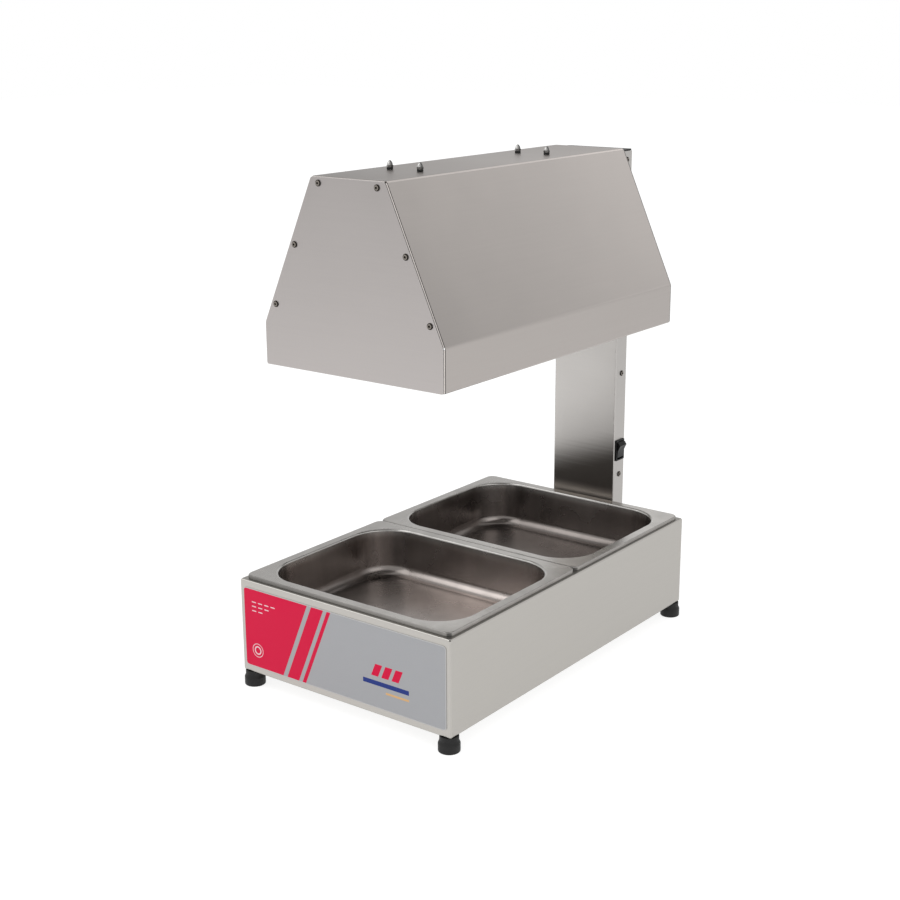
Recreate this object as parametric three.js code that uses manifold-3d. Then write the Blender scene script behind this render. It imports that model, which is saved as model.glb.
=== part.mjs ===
// Countertop chip warmer: a stainless base with two lift-out food pans, a rear column with a rocker switch,
// and an overhead hood with an infrared element, a reflector and four cap nuts on its top.
// Millimetres. +X is the user's right, +Y runs from the front to the column, +Z is up.
// The origin is on the floor, at the centre of the object's footprint box.

import * as THREE from "three";
import { mergeVertices } from "three/addons/utils/BufferGeometryUtils.js";
import Module from "manifold-3d";

const wasm = await Module();
wasm.setup();

// Sheet metal, the fit between pieces, the overrun of cuts, and the bite of shapes joined into one piece
const sheet = 1.2;
const bendRadius = 2.5;
const edgeRadius = 2;
const reliefRadius = 1.5;
const reliefInset = 1;
const fit = 0.3;
const overrun = 1;
const bite = 0.6;

// Base cabinet
const baseWidth = 340;
const baseDepth = 552;
const baseHeight = 126.5;
const baseReturn = 26;
const overlayWidth = 328;
const overlayHeight = 108;
const overlayThickness = 0.5;
const overlayCorner = 5;

// Rubber feet and their bolts
const footHeight = 21;
const footRadius = 13.7;
const footCollarRadius = 12;
const footCollarHeight = 6;
const footShoulder = 4;
const footChamfer = 1.2;
const footInset = 10;
const footRecessClearance = 1.4;
const footRecessDepth = 9;
const footBoltRadius = 2.5;
const footBoltHeadRadius = 4.6;
const footBoltHeadHeight = 3;
const footNutRadius = 4.6;
const footNutHeight = 4;
const footBoltEnd = 3;

// Pans in the proportions of a half-size gastronorm pan
const panWidth = 330;
const panLength = 270;
const panDepth = 65;
const panSheet = 0.8;
const panRim = 13.5;
const panRimDrop = 5;
const panRimCorner = 9;
const panRimRadius = 3;
const panMouthCorner = 55;
const panMouthRadius = 3;
const panDraft = 4.5;
const panFloorFillet = 14;
const panGap = 1;
const wellClearance = 1.5;

// Hood
const hoodWidth = 277;
const hoodTopWidth = 113;
const hoodHeight = 235.5;
const hoodSkirt = 53;
const hoodSetback = 32;
const hoodAbovePans = 281.5;
const hoodFlange = 15;
const hoodFlangeGap = 1;
const panelInset = 0.9;
const panelReturn = 12;

// Blind rivets
const rivetRadius = 2;
const rivetHeadRadius = 4;
const rivetHeadHeight = 1.5;
const rivetHeadEdge = 0.5;
const rivetCavityRadius = 1.2;
const rivetCavityDepth = 0.8;
const rivetTailRadius = 3;
const rivetTailHeight = 4;
const hoodRivetInset = 8;
const hoodRivetCorner = 12;
const hoodRivetLow = 27.3;
const hoodRivetPitch = 75.5;

// Column
const columnWidth = 105;
const columnDepth = 28;
const columnFoot = 4;
const columnTopDrop = 2.5;
const coverFlange = 18;
const capThickness = 2.2;
const capEdge = 0.7;
const capSpigot = 8;
const capWall = 2.5;
const columnRivetSetback = 15.5;
const columnRivetTop = 12.3;
const columnRivetLow = 41.3;
const columnRivetRows = 4;
const columnStudRadius = 2.5;
const columnStudEnd = 3;
const columnStudSpread = 30;
const keyholeRise = 12;
const baseStudLow = 40;
const baseStudHigh = 100;
const hoodStudLow = 80;
const hoodStudBelowTop = 35.5;
const hoodNutRadius = 4.6;
const hoodNutHeight = 4;
const studHeadRadius = 4.5;
const studHeadHeight = 2.5;

// Rocker switch
const switchWidth = 22.6;
const switchHeight = 31;
const switchProud = 2.2;
const switchEdge = 0.7;
const switchCorner = 1.5;
const switchRim = 2;
const switchBodyWidth = 20.6;
const switchBodyHeight = 28.8;
const switchBodyDepth = 20;
const switchWellDepth = 13;
const switchAboveBase = 79;
const rockerGap = 0.4;
const rockerNoseReach = 6.2;
const rockerNoseHeight = 9.6;
const rockerMiddleReach = 4.3;
const rockerShoulder = 2.4;
const rockerBack = 3.4;
const rockerAxisDepth = 3.2;
const rockerPinRadius = 1.2;
const rockerPinLength = 0.7;
const rockerPinClearance = 0.08;
const rockerTilt = 14;

// Cable gland
const glandAboveFoot = 42;
const glandHexRadius = 11.5;
const glandHexLength = 5;
const glandThreadRadius = 7.5;
const glandInside = 9;
const glandLocknutRadius = 11;
const glandLocknutLength = 4;
const glandDomeRadius = 10;
const glandDomeLength = 15;
const glandDomeSkirt = 7.5;
const glandGrooveRadius = 1;
const glandGrooveDepth = 0.5;
const glandGrooves = 12;
const glandMouthRadius = 6.4;
const glandBore = 4.2;

// Infrared element, its brackets and the reflector
const elementRadius = 4.2;
const elementLegSpread = 38;
const elementEndInset = 34;
const elementTurnInset = 36;
const elementBelowTop = 48;
const pinRadius = 1.8;
const pinLength = 16;
const insulatorRadius = 5.6;
const insulatorLength = 10;
const insulatorFlange = 5;
const insulatorNeckRadius = 3.8;
const bracketWidth = 14;
const bracketSheet = 1.5;
const bracketHookSweep = 126;
const spacerRadius = 4;
const reflectorSheet = 0.8;
const reflectorTopHalf = 46;
const reflectorFootHalf = 78;
const reflectorHeight = 44;
const reflectorLip = 6;
const reflectorEndGap = 26;

// Cap nuts on the hood, their seals and the studs under them
const capNutSpread = 23.2;
const capNutRow = 138;
const capNutPitch = 270.5;
const capNutRadius = 4.1;
const capNutHex = 3.6;
const capNutDome = 3.4;
const capNutHeight = 8.4;
const capNutTip = 0.5;
const capNutBoreDepth = 5.6;
const capStudRadius = 2;
const sealRadius = 4;
const sealHeight = 2.5;

// Wiring loom inside the column and the hood
const loomRadius = 3.4;
const leadRadius = 1.9;
const loomClearance = 2.6;
const loomStart = 65;
const loomBend = 12;
const loomBelowTop = 62;
const loomForkSetback = 11;
const loomForkRise = 6;
const loomForkSpread = 19;

// Facets
const cornerSteps = 6;
const bendSteps = 2;
const roundSides = 20;
const smallSides = 12;
const tubeSides = 8;
const fewSides = 8;

// Places worked out from the sizes above
const baseTop = footHeight + baseHeight;
const rimTop = baseTop + fit + panRimDrop;
const panPitch = panLength + panGap;
const panRow = baseDepth / 2 - panPitch / 2;
const hoodBottom = baseTop + hoodAbovePans;
const hoodTop = hoodBottom + hoodHeight;
const hoodLength = baseDepth - hoodSetback;
const shellFront = sheet + fit;
const shellLength = hoodLength - 2 * shellFront;
const columnBottom = footHeight + columnFoot;
const columnHeight = hoodTop - columnTopDrop - capThickness - fit - columnBottom;
const columnFront = baseDepth + fit;
const columnBack = columnFront + columnDepth;
const footprintFront = Math.min(footInset - footRadius, -fit - overlayThickness);
const footprintBack = columnBack + fit + glandHexLength + fit + glandDomeLength;
const slopeRun = (hoodWidth - hoodTopWidth) / 2;
const slopeRise = hoodHeight - hoodSkirt;
const slopeLength = Math.hypot(slopeRun, slopeRise);

const steel = new THREE.MeshStandardMaterial({ color: 0xb9b5b0, metalness: 1, roughness: 0.32 });
const panSteel = new THREE.MeshStandardMaterial({ color: 0xa6a3a0, metalness: 1, roughness: 0.25 });
const rivetSteel = new THREE.MeshStandardMaterial({ color: 0x77736c, metalness: 1, roughness: 0.4 });
const brightSteel = new THREE.MeshStandardMaterial({ color: 0xc9c9c9, metalness: 1, roughness: 0.15 });
const sheathSteel = new THREE.MeshStandardMaterial({ color: 0x4c4640, metalness: 0.9, roughness: 0.55 });
const rubber = new THREE.MeshStandardMaterial({ color: 0x17171a, metalness: 0, roughness: 0.75 });
const blackPlastic = new THREE.MeshStandardMaterial({ color: 0x1b1b1b, metalness: 0, roughness: 0.45 });
const ceramic = new THREE.MeshStandardMaterial({ color: 0xe6e0d2, metalness: 0, roughness: 0.5 });
const overlayFilm = new THREE.MeshStandardMaterial({ color: 0xa5a8ab, metalness: 0, roughness: 0.45 });
const sleeve = new THREE.MeshStandardMaterial({ color: 0xd8d2c4, metalness: 0, roughness: 0.85 });

// A geometry as a manifold solid, turned to face outwards
function solid(geometry) {
  const bare = new THREE.BufferGeometry();
  bare.setAttribute("position", geometry.getAttribute("position"));
  if (geometry.index) bare.setIndex(geometry.index);
  const merged = mergeVertices(bare);
  const index = merged.index.array;
  const faces = [];
  for (let i = 0; i < index.length; i += 3) {
    const [a, b, c] = index.slice(i, i + 3);
    if (a !== b && b !== c && c !== a) faces.push([a, b, c]);
  }
  const build = (triangles) =>
    new wasm.Manifold(
      new wasm.Mesh({
        numProp: 3,
        vertProperties: new Float32Array(merged.getAttribute("position").array),
        triVerts: new Uint32Array(triangles.flat()),
      }),
    );
  const made = build(faces);
  return made.volume() < 0 ? build(faces.map(([a, b, c]) => [a, c, b])) : made;
}

// A manifold solid as a geometry for a mesh
function geometryOf(body) {
  const mesh = body.getMesh();
  const geometry = new THREE.BufferGeometry();
  const corners = new Float32Array(mesh.numVert * 3);
  for (let i = 0; i < mesh.numVert; i += 1) {
    corners.set(mesh.vertProperties.subarray(i * mesh.numProp, i * mesh.numProp + 3), i * 3);
  }
  geometry.setAttribute("position", new THREE.BufferAttribute(corners, 3));
  geometry.setIndex(new THREE.BufferAttribute(new Uint32Array(mesh.triVerts), 1));
  geometry.computeVertexNormals();
  return geometry;
}

const join = (first, ...others) => others.reduce((body, other) => body.add(other), first);
const cut = (first, ...tools) => tools.reduce((body, tool) => body.subtract(tool), first);

// A named mesh of a manifold solid
function piece(name, body, material) {
  const mesh = new THREE.Mesh(geometryOf(body), material);
  mesh.name = name;
  return mesh;
}

function groupAt(x, y, z, ...children) {
  const group = new THREE.Group();
  group.position.set(x, y, z);
  group.add(...children);
  return group;
}

// A rectangle centred on a point, with round corners
function roundedRectangle(width, height, radius) {
  const shape = new THREE.Shape();
  const x = width / 2 - radius;
  const y = height / 2 - radius;
  shape.absarc(x, y, radius, 0, Math.PI / 2);
  shape.absarc(-x, y, radius, Math.PI / 2, Math.PI);
  shape.absarc(-x, -y, radius, Math.PI, 1.5 * Math.PI);
  shape.absarc(x, -y, radius, 1.5 * Math.PI, 2 * Math.PI);
  shape.closePath();
  return shape;
}

// A polygon whose corners are rounded, each by the same radius or by its own third value
function roundedPolygon(corners, radius) {
  const shape = new THREE.Shape();
  corners.forEach(([x, y, own = radius], i) => {
    const [ax, ay] = corners.at(i - 1);
    const [bx, by] = corners[(i + 1) % corners.length];
    const before = new THREE.Vector2(ax - x, ay - y).setLength(own);
    const after = new THREE.Vector2(bx - x, by - y).setLength(own);
    if (i === 0) shape.moveTo(x + before.x, y + before.y);
    else shape.lineTo(x + before.x, y + before.y);
    if (own > 0) shape.quadraticCurveTo(x, y, x + after.x, y + after.y);
  });
  shape.closePath();
  return shape;
}

// A convex polygon, listed anticlockwise, with every side moved inwards
function inset(corners, distance) {
  const sides = corners.map(([x, y], i) => {
    const [nx, ny] = corners[(i + 1) % corners.length];
    const along = new THREE.Vector2(nx - x, ny - y).normalize();
    return { x: x - along.y * distance, y: y + along.x * distance, along };
  });
  return sides.map((side, i) => {
    const last = sides.at(i - 1);
    const cross = last.along.x * side.along.y - last.along.y * side.along.x;
    const t = ((side.x - last.x) * side.along.y - (side.y - last.y) * side.along.x) / cross;
    return [last.x + last.along.x * t, last.y + last.along.y * t];
  });
}

// The closed outline of a sheet that follows a path, its thickness to the left
function sheetOutline(path, thickness) {
  const points = path.map(([x, y]) => new THREE.Vector2(x, y));
  const last = points.length - 1;
  const direction = (i) => points[i + 1].clone().sub(points[i]).normalize();
  const offset = points.map((point, i) => {
    const into = direction(Math.max(i - 1, 0));
    const along = into.clone().add(direction(Math.min(i, last - 1))).normalize();
    const mitre = thickness / along.dot(into);
    return new THREE.Vector2(point.x - along.y * mitre, point.y + along.x * mitre);
  });
  return new THREE.Shape([...points, ...offset.reverse()]);
}

// A prism of a shape along +Z, from z = 0, its end edges rounded where a radius is given
function alongZ(shape, length, radius = 0, steps = bendSteps) {
  return new THREE.ExtrudeGeometry(shape, {
    depth: length - 2 * radius,
    curveSegments: steps,
    bevelEnabled: radius > 0,
    bevelThickness: radius,
    bevelSize: radius,
    bevelOffset: -radius,
    bevelSegments: bendSteps,
  }).translate(0, 0, radius);
}

// The same along +Y, with the shape in the X-Z plane, and along +X, with it in the Y-Z plane
const alongY = (shape, length, radius, steps) =>
  alongZ(shape, length, radius, steps).rotateX(Math.PI / 2).translate(0, length, 0);
const axes = [new THREE.Vector3(0, 1, 0), new THREE.Vector3(0, 0, 1), new THREE.Vector3(1, 0, 0)];
const alongX = (shape, length, radius, steps) =>
  alongZ(shape, length, radius, steps).applyMatrix4(new THREE.Matrix4().makeBasis(...axes));

const block = (width, depth, height) =>
  new THREE.BoxGeometry(width, depth, height).translate(0, 0, height / 2);
const rodZ = (radius, length, sides = smallSides) =>
  new THREE.CylinderGeometry(radius, radius, length, sides).rotateX(Math.PI / 2).translate(0, 0, length / 2);
const rodY = (radius, length, sides = smallSides) =>
  new THREE.CylinderGeometry(radius, radius, length, sides).translate(0, length / 2, 0);
const rodX = (radius, length, sides = smallSides) =>
  rodY(radius, length, sides).rotateZ(-Math.PI / 2);

// A body turned about the Z axis from a profile of radius and height
const turned = (profile, sides = roundSides) =>
  new THREE.LatheGeometry(profile.map(([r, z]) => new THREE.Vector2(r, z)), sides).rotateX(Math.PI / 2);

// One closed body through a stack of round-cornered rectangles, capped at its first and last one
function loft(sections) {
  const positions = [];
  const index = [];
  const count = 4 * (cornerSteps + 1);
  sections.forEach(({ x, y, radius, z }) => {
    for (let corner = 0; corner < 4; corner += 1) {
      const cx = (corner === 0 || corner === 3 ? 1 : -1) * (x - radius);
      const cy = (corner < 2 ? 1 : -1) * (y - radius);
      for (let step = 0; step <= cornerSteps; step += 1) {
        const angle = ((corner + step / cornerSteps) * Math.PI) / 2;
        positions.push(cx + radius * Math.cos(angle), cy + radius * Math.sin(angle), z);
      }
    }
  });
  for (let s = 0; s < sections.length - 1; s += 1) {
    for (let i = 0; i < count; i += 1) {
      const a = s * count + i;
      const b = s * count + ((i + 1) % count);
      index.push(a, b, b + count, a, b + count, a + count);
    }
  }
  const last = (sections.length - 1) * count;
  positions.push(0, 0, sections[0].z, 0, 0, sections.at(-1).z);
  for (let i = 0; i < count; i += 1) {
    const next = (i + 1) % count;
    index.push(sections.length * count, next, i, sections.length * count + 1, last + i, last + next);
  }
  const geometry = new THREE.BufferGeometry();
  geometry.setAttribute("position", new THREE.Float32BufferAttribute(positions, 3));
  geometry.setIndex(index);
  return geometry;
}

// Points of a quarter round from one direction to another, for a profile
function arcPoints(cx, cy, radius, from, to, steps) {
  return Array.from({ length: steps + 1 }, (_, i) => {
    const angle = from + ((to - from) * i) / steps;
    return [cx + radius * Math.cos(angle), cy + radius * Math.sin(angle)];
  });
}

// A tube of a round section along a curve, closed at both ends
function tube(curve, radius, steps, sides = tubeSides) {
  const ring = Array.from({ length: sides }, (_, i) => {
    const angle = (2 * Math.PI * i) / sides;
    return new THREE.Vector2(radius * Math.cos(angle), radius * Math.sin(angle));
  });
  const section = new THREE.Shape(ring);
  return new THREE.ExtrudeGeometry(section, { steps, bevelEnabled: false, extrudePath: curve });
}

// Base

const footPlaces = [
  ["front_left", -1, footInset],
  ["front_right", 1, footInset],
  ["rear_left", -1, baseDepth - footInset],
  ["rear_right", 1, baseDepth - footInset],
].map(([name, side, y]) => ({ name, x: side * (baseWidth / 2 - footInset), y }));

const panPlaces = [
  ["pan_front", panRow],
  ["pan_rear", panRow + panPitch],
];

const columnStuds = [-columnStudSpread, columnStudSpread].flatMap((x) =>
  [footHeight + baseStudLow, footHeight + baseStudHigh].map((z) => [x, z]),
);
const hoodStuds = [-columnStudSpread, columnStudSpread].flatMap((x) =>
  [hoodBottom + hoodStudLow, hoodTop - hoodStudBelowTop].map((z) => [x, z]),
);

// A slot along +Y that a stud's head passes at its top, and the stud's shank at its foot
function keyhole() {
  const depth = sheet + 2 * overrun;
  const shankWay = columnStudRadius + fit;
  return join(
    solid(rodY(shankWay, depth)),
    solid(block(2 * shankWay, depth, keyholeRise).translate(0, depth / 2, 0)),
    solid(rodY(studHeadRadius + fit, depth).translate(0, 0, keyholeRise)),
  );
}

function baseShell() {
  const outer = solid(alongZ(roundedRectangle(baseWidth, baseDepth, bendRadius), baseHeight, edgeRadius));
  const hollow = solid(
    alongZ(
      roundedRectangle(baseWidth - 2 * sheet, baseDepth - 2 * sheet, bendRadius - sheet),
      baseHeight - 2 * sheet,
    ).translate(0, 0, sheet),
  );
  const underside = solid(
    alongZ(
      roundedRectangle(baseWidth - 2 * baseReturn, baseDepth - 2 * baseReturn, baseReturn),
      sheet + 2 * overrun,
      0,
      cornerSteps,
    ).translate(0, 0, -overrun),
  );
  const wellWidth = panWidth - 2 * (panRim - panSheet - wellClearance);
  const wellLength = panLength - 2 * (panRim - panSheet - wellClearance);
  const wells = panPlaces.map(([, y]) =>
    solid(
      alongZ(
        roundedRectangle(wellWidth, wellLength, panMouthCorner),
        sheet + 2 * overrun,
        0,
        cornerSteps,
      ).translate(0, y - baseDepth / 2, baseHeight - sheet - overrun),
    ),
  );
  const boltHoles = footPlaces.map(({ x, y }) =>
    solid(rodZ(footBoltRadius + fit, sheet + 2 * overrun).translate(x, y - baseDepth / 2, -overrun)),
  );
  const reliefs = [-1, 1].flatMap((side) =>
    [-1, 1].map((end) =>
      solid(
        rodZ(reliefRadius, edgeRadius + overrun).translate(
          side * (baseWidth / 2 - reliefInset),
          end * (baseDepth / 2 - reliefInset),
          baseHeight - edgeRadius,
        ),
      ),
    ),
  );
  const keyholes = columnStuds.map(([x, z]) =>
    keyhole().translate([x, baseDepth / 2 - sheet - overrun, z - footHeight]),
  );
  return cut(outer, hollow, underside, ...wells, ...boltHoles, ...reliefs, ...keyholes);
}

// A loose plate that lies on the base's inturned flanges
function baseFloor() {
  const clear = sheet + fit;
  const outline = roundedRectangle(baseWidth - 2 * clear, baseDepth - 2 * clear, bendRadius);
  const boltHoles = footPlaces.map(({ x, y }) =>
    solid(rodZ(footBoltRadius + fit, sheet + 2 * overrun).translate(x, y - baseDepth / 2, clear - overrun)),
  );
  return cut(solid(alongZ(outline, sheet).translate(0, 0, clear)), ...boltHoles);
}

// A rubber foot with a collar, a shoulder and a recess for its bolt; its top is at z = footHeight - fit
function foot() {
  const top = footHeight - fit;
  const shoulderTop = top - footCollarHeight;
  const hole = footBoltRadius + fit;
  const recess = footBoltHeadRadius + footRecessClearance;
  return solid(
    turned([
      [hole, top],
      [footCollarRadius, top],
      [footCollarRadius, shoulderTop],
      [footRadius, shoulderTop - footShoulder],
      [footRadius, footChamfer],
      [footRadius - footChamfer, 0],
      [recess, 0],
      [recess, footRecessDepth],
      [hole, footRecessDepth],
      [hole, top],
    ]),
  );
}

// A bolt that holds a foot, its head in the foot's recess and its nut on the base's floor
function footBolt() {
  const headTop = footRecessDepth - fit;
  const nutFoot = footHeight + 2 * (sheet + fit) + fit;
  const shank = solid(
    turned(
      [
        [0, headTop - footBoltHeadHeight],
        [footBoltHeadRadius, headTop - footBoltHeadHeight],
        [footBoltHeadRadius, headTop],
        [footBoltRadius, headTop],
        [footBoltRadius, nutFoot + footNutHeight + footBoltEnd],
        [0, nutFoot + footNutHeight + footBoltEnd],
      ],
      smallSides,
    ),
  );
  return join(shank, solid(rodZ(footNutRadius, footNutHeight, 6).translate(0, 0, nutFoot)));
}

function frontOverlay() {
  return solid(
    alongY(roundedRectangle(overlayWidth, overlayHeight, overlayCorner), overlayThickness, 0, cornerSteps),
  );
}

const base = groupAt(
  0,
  0,
  0,
  groupAt(
    0,
    baseDepth / 2,
    footHeight,
    piece("base_shell", baseShell(), steel),
    piece("base_floor", baseFloor(), steel),
  ),
  groupAt(
    0,
    -fit - overlayThickness,
    footHeight + baseHeight / 2,
    piece("front_overlay", frontOverlay(), overlayFilm),
  ),
  ...footPlaces.map(({ name, x, y }) =>
    groupAt(
      x,
      y,
      0,
      piece(`foot_${name}`, foot(), rubber),
      piece(`foot_bolt_${name}`, footBolt(), brightSteel),
    ),
  ),
);

// Pans

// A drawn pan: one skin from the outside of its floor, round the rim, to the inside of its floor.
// Its rim's top is at z = 0.
function pan() {
  const section = (outset, z, radius) => ({
    x: panWidth / 2 - outset,
    y: panLength / 2 - outset,
    radius,
    z,
  });
  const wall = (thickness) => {
    const floor = -panDepth + panSheet - thickness;
    const fillet = panFloorFillet + thickness;
    const mouth = panRim - thickness;
    const corner = panMouthCorner + thickness;
    const low = arcPoints(
      panRim + panDraft - thickness + fillet,
      floor + fillet,
      fillet,
      -Math.PI / 2,
      -Math.PI,
      bendSteps + 1,
    ).map(([outset, z]) => section(outset, z, corner - (outset - mouth)));
    const lip = panMouthRadius - thickness;
    const bend = arcPoints(mouth - lip, -thickness - lip, lip, 0, Math.PI / 2, bendSteps);
    const high = bend.map(([outset, z]) => section(outset, z, corner + mouth - outset));
    return [...low, ...high];
  };
  const rim = (thickness) =>
    arcPoints(
      panRimRadius,
      -panRimRadius,
      panRimRadius - thickness,
      Math.PI / 2,
      Math.PI,
      bendSteps,
    ).map(([outset, z]) => section(outset, z, panRimCorner - outset));
  const lipEnd = (thickness) => section(thickness, -panRimDrop, panRimCorner - thickness);
  return solid(
    loft([
      ...wall(panSheet),
      ...rim(panSheet),
      lipEnd(panSheet),
      lipEnd(0),
      ...rim(0).reverse(),
      ...wall(0).reverse(),
    ]),
  );
}

const pans = panPlaces.map(([name, y]) => groupAt(0, y, rimTop, piece(name, pan(), panSteel)));

// Hood

const hoodProfile = [
  [-hoodWidth / 2, 0],
  [hoodWidth / 2, 0],
  [hoodWidth / 2, hoodSkirt],
  [hoodTopWidth / 2, hoodHeight],
  [-hoodTopWidth / 2, hoodHeight],
  [-hoodWidth / 2, hoodSkirt],
];

// A point on the right slope, a height above the shoulder and a distance in from the slope's face
function slopePlace(height, distance) {
  const x = hoodWidth / 2 - (slopeRun * height) / slopeRise;
  const z = hoodSkirt + height;
  return [x - (distance * slopeRise) / slopeLength, z - (distance * slopeRun) / slopeLength];
}

const slopeRivets = [
  slopePlace(hoodRivetLow, hoodRivetInset),
  slopePlace(hoodRivetLow + hoodRivetPitch, hoodRivetInset),
];
const topRivet = [hoodTopWidth / 2 - hoodRivetCorner, hoodHeight - hoodRivetInset];
const bothSides = (places) => places.flatMap(([x, z]) => [[-x, z], [x, z]]);
const frontRivets = bothSides([topRivet, ...slopeRivets]);
const rearRivets = bothSides(slopeRivets);
const bracketRows = [capNutRow - hoodSetback, capNutRow + capNutPitch - hoodSetback];
const capNutPlaces = bracketRows.flatMap((y) => [-capNutSpread, capNutSpread].map((x) => [x, y]));

// The folded skin: skirts, slopes and top in one sheet, with flanges at both ends and under the skirts
function hoodShell() {
  const outer = solid(alongY(roundedPolygon(hoodProfile, bendRadius), shellLength, edgeRadius));
  const innerOutline = roundedPolygon(inset(hoodProfile, sheet), bendRadius - sheet);
  const inner = solid(alongY(innerOutline, shellLength - 2 * sheet).translate(0, sheet, 0));
  const mouth = inset(hoodProfile, hoodFlange).map(([x, z], i) => [x, i < 2 ? -overrun : z]);
  const through = solid(
    alongY(roundedPolygon(mouth, 0), shellLength + 2 * overrun).translate(0, -overrun, 0),
  );
  const reliefs = inset(hoodProfile, reliefInset)
    .slice(2)
    .flatMap(([x, z]) =>
      [-overrun, shellLength - edgeRadius].map((y) =>
        solid(rodY(reliefRadius, edgeRadius + overrun, fewSides).translate(x, y, z)),
      ),
    );
  const rivetHole = ([x, z], y) =>
    solid(rodY(rivetRadius + fit, sheet + 2 * overrun).translate(x, y - overrun, z));
  const rivetHoles = [
    ...frontRivets.map((place) => rivetHole(place, 0)),
    ...rearRivets.map((place) => rivetHole(place, shellLength - sheet)),
  ];
  const topHole = rodZ(capStudRadius + fit, sheet + 2 * overrun);
  const nutHoles = capNutPlaces.map(([x, y]) =>
    solid(topHole.clone().translate(x, y - shellFront, hoodHeight - sheet - overrun)),
  );
  return cut(outer, inner, through, ...reliefs, ...rivetHoles, ...nutHoles);
}

// An end panel: a flat plate from y = 0 to y = sheet, with its lower edge turned inwards beyond that
function endPanel(rivets, ...holes) {
  const plate = inset(hoodProfile, panelInset).map(([x, z], i) => [x, i < 2 ? 0 : z]);
  const face = solid(alongY(roundedPolygon(plate, bendRadius), sheet));
  const lipWidth = hoodWidth - 2 * (hoodFlange + hoodFlangeGap);
  const lip = solid(block(lipWidth, panelReturn, sheet).translate(0, panelReturn / 2, 0));
  const rivetHoles = rivets.map(([x, z]) =>
    solid(rodY(rivetRadius + fit, sheet + 2 * overrun).translate(x, -overrun, z)),
  );
  return cut(join(face, lip), ...rivetHoles, ...holes);
}

function rearPanel() {
  const studHoles = hoodStuds.map(([x, z]) =>
    solid(rodY(columnStudRadius + fit, sheet + 2 * overrun).translate(x, -overrun, z - hoodBottom)),
  );
  const loomPass = solid(
    rodY(loomRadius + loomClearance, sheet + 2 * overrun).translate(0, -overrun, hoodHeight - loomBelowTop),
  );
  return endPanel(rearRivets, ...studHoles, loomPass);
}

// A blind rivet along +Y: its domed head stands before y = 0, and its tail lies behind the given grip
function rivet(grip) {
  const tail = -grip - 2 * fit;
  return solid(
    turned(
      [
        [0, rivetHeadHeight - rivetCavityDepth],
        [rivetCavityRadius, rivetHeadHeight - rivetCavityDepth],
        [rivetCavityRadius, rivetHeadHeight],
        [rivetHeadRadius, rivetHeadEdge],
        [rivetHeadRadius, 0],
        [rivetRadius, 0],
        [rivetRadius, tail],
        [rivetTailRadius, tail],
        [0, tail - rivetTailHeight],
      ],
      smallSides,
    )
      .rotateX(Math.PI / 2)
      .translate(0, -fit, 0),
  );
}

const hoodGrip = 2 * sheet + fit;

// A domed cap nut with a blind bore, standing on z = 0
function capNut() {
  const hex = solid(rodZ(capNutRadius, capNutHex, 6));
  const domeRise = (capNutHeight - capNutTip - capNutHex) / capNutDome;
  const quarter = arcPoints(0, 0, capNutDome, 0, Math.PI / 2, cornerSteps - 1).slice(0, -1);
  const curve = quarter.map(([r, z]) => [r, capNutHex + z * domeRise]);
  const dome = solid(turned([[0, 0], [capNutDome, 0], ...curve, [0, capNutHeight]], smallSides));
  const bore = solid(rodZ(capStudRadius + fit, capNutBoreDepth + overrun).translate(0, 0, -overrun));
  return cut(join(hex, dome), bore);
}

function sealWasher() {
  return solid(
    turned(
      [
        [capStudRadius + fit, 0],
        [sealRadius, 0],
        [sealRadius, sealHeight],
        [capStudRadius + fit, sealHeight],
        [capStudRadius + fit, 0],
      ],
      smallSides,
    ),
  );
}

// Heights inside the hood, measured from its lower edge
const elementHeight = hoodHeight - elementBelowTop;
const hookRadius = elementRadius + fit;
const strapFoot = elementHeight + hookRadius;
const reflectorTop = strapFoot + bracketSheet + fit + reflectorSheet;

// A strap above the element's legs, hooked under each, with two threaded studs and their spacers
function elementBracket() {
  const end = Math.PI / 2 - THREE.MathUtils.degToRad(bracketHookSweep);
  const hook = arcPoints(elementLegSpread, elementHeight, hookRadius, Math.PI / 2, end, cornerSteps);
  const path = [...hook.map(([x, z]) => [-x, z]).reverse(), ...hook];
  const outline = sheetOutline(path, bracketSheet);
  const strap = solid(alongY(outline, bracketWidth).translate(0, -bracketWidth / 2, 0));
  const studTop = hoodHeight + fit + sealHeight + fit + capNutBoreDepth - fit;
  const studFoot = strapFoot + bracketSheet - bite;
  const spacerFoot = reflectorTop + fit;
  const studs = [-capNutSpread, capNutSpread].flatMap((x) => [
    solid(rodZ(capStudRadius, studTop - studFoot).translate(x, 0, studFoot)),
    solid(rodZ(spacerRadius, hoodHeight - sheet - fit - spacerFoot).translate(x, 0, spacerFoot)),
  ]);
  return join(strap, ...studs);
}

// A folded trough above the element, open downwards
function reflector() {
  const foot = reflectorTop - reflectorHeight;
  const half = [
    [reflectorTopHalf, reflectorTop],
    [reflectorFootHalf, foot],
    [reflectorFootHalf + reflectorLip, foot],
  ];
  const path = [...half.toReversed(), ...half.map(([x, z]) => [-x, z])];
  const length = hoodLength - 2 * reflectorEndGap;
  const trough = solid(alongY(sheetOutline(path, reflectorSheet), length).translate(0, reflectorEndGap, 0));
  const holes = capNutPlaces.map(([x, y]) =>
    solid(
      rodZ(capStudRadius + fit, reflectorSheet + 2 * overrun).translate(
        x,
        y,
        reflectorTop - reflectorSheet - overrun,
      ),
    ),
  );
  return cut(trough, ...holes);
}

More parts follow.
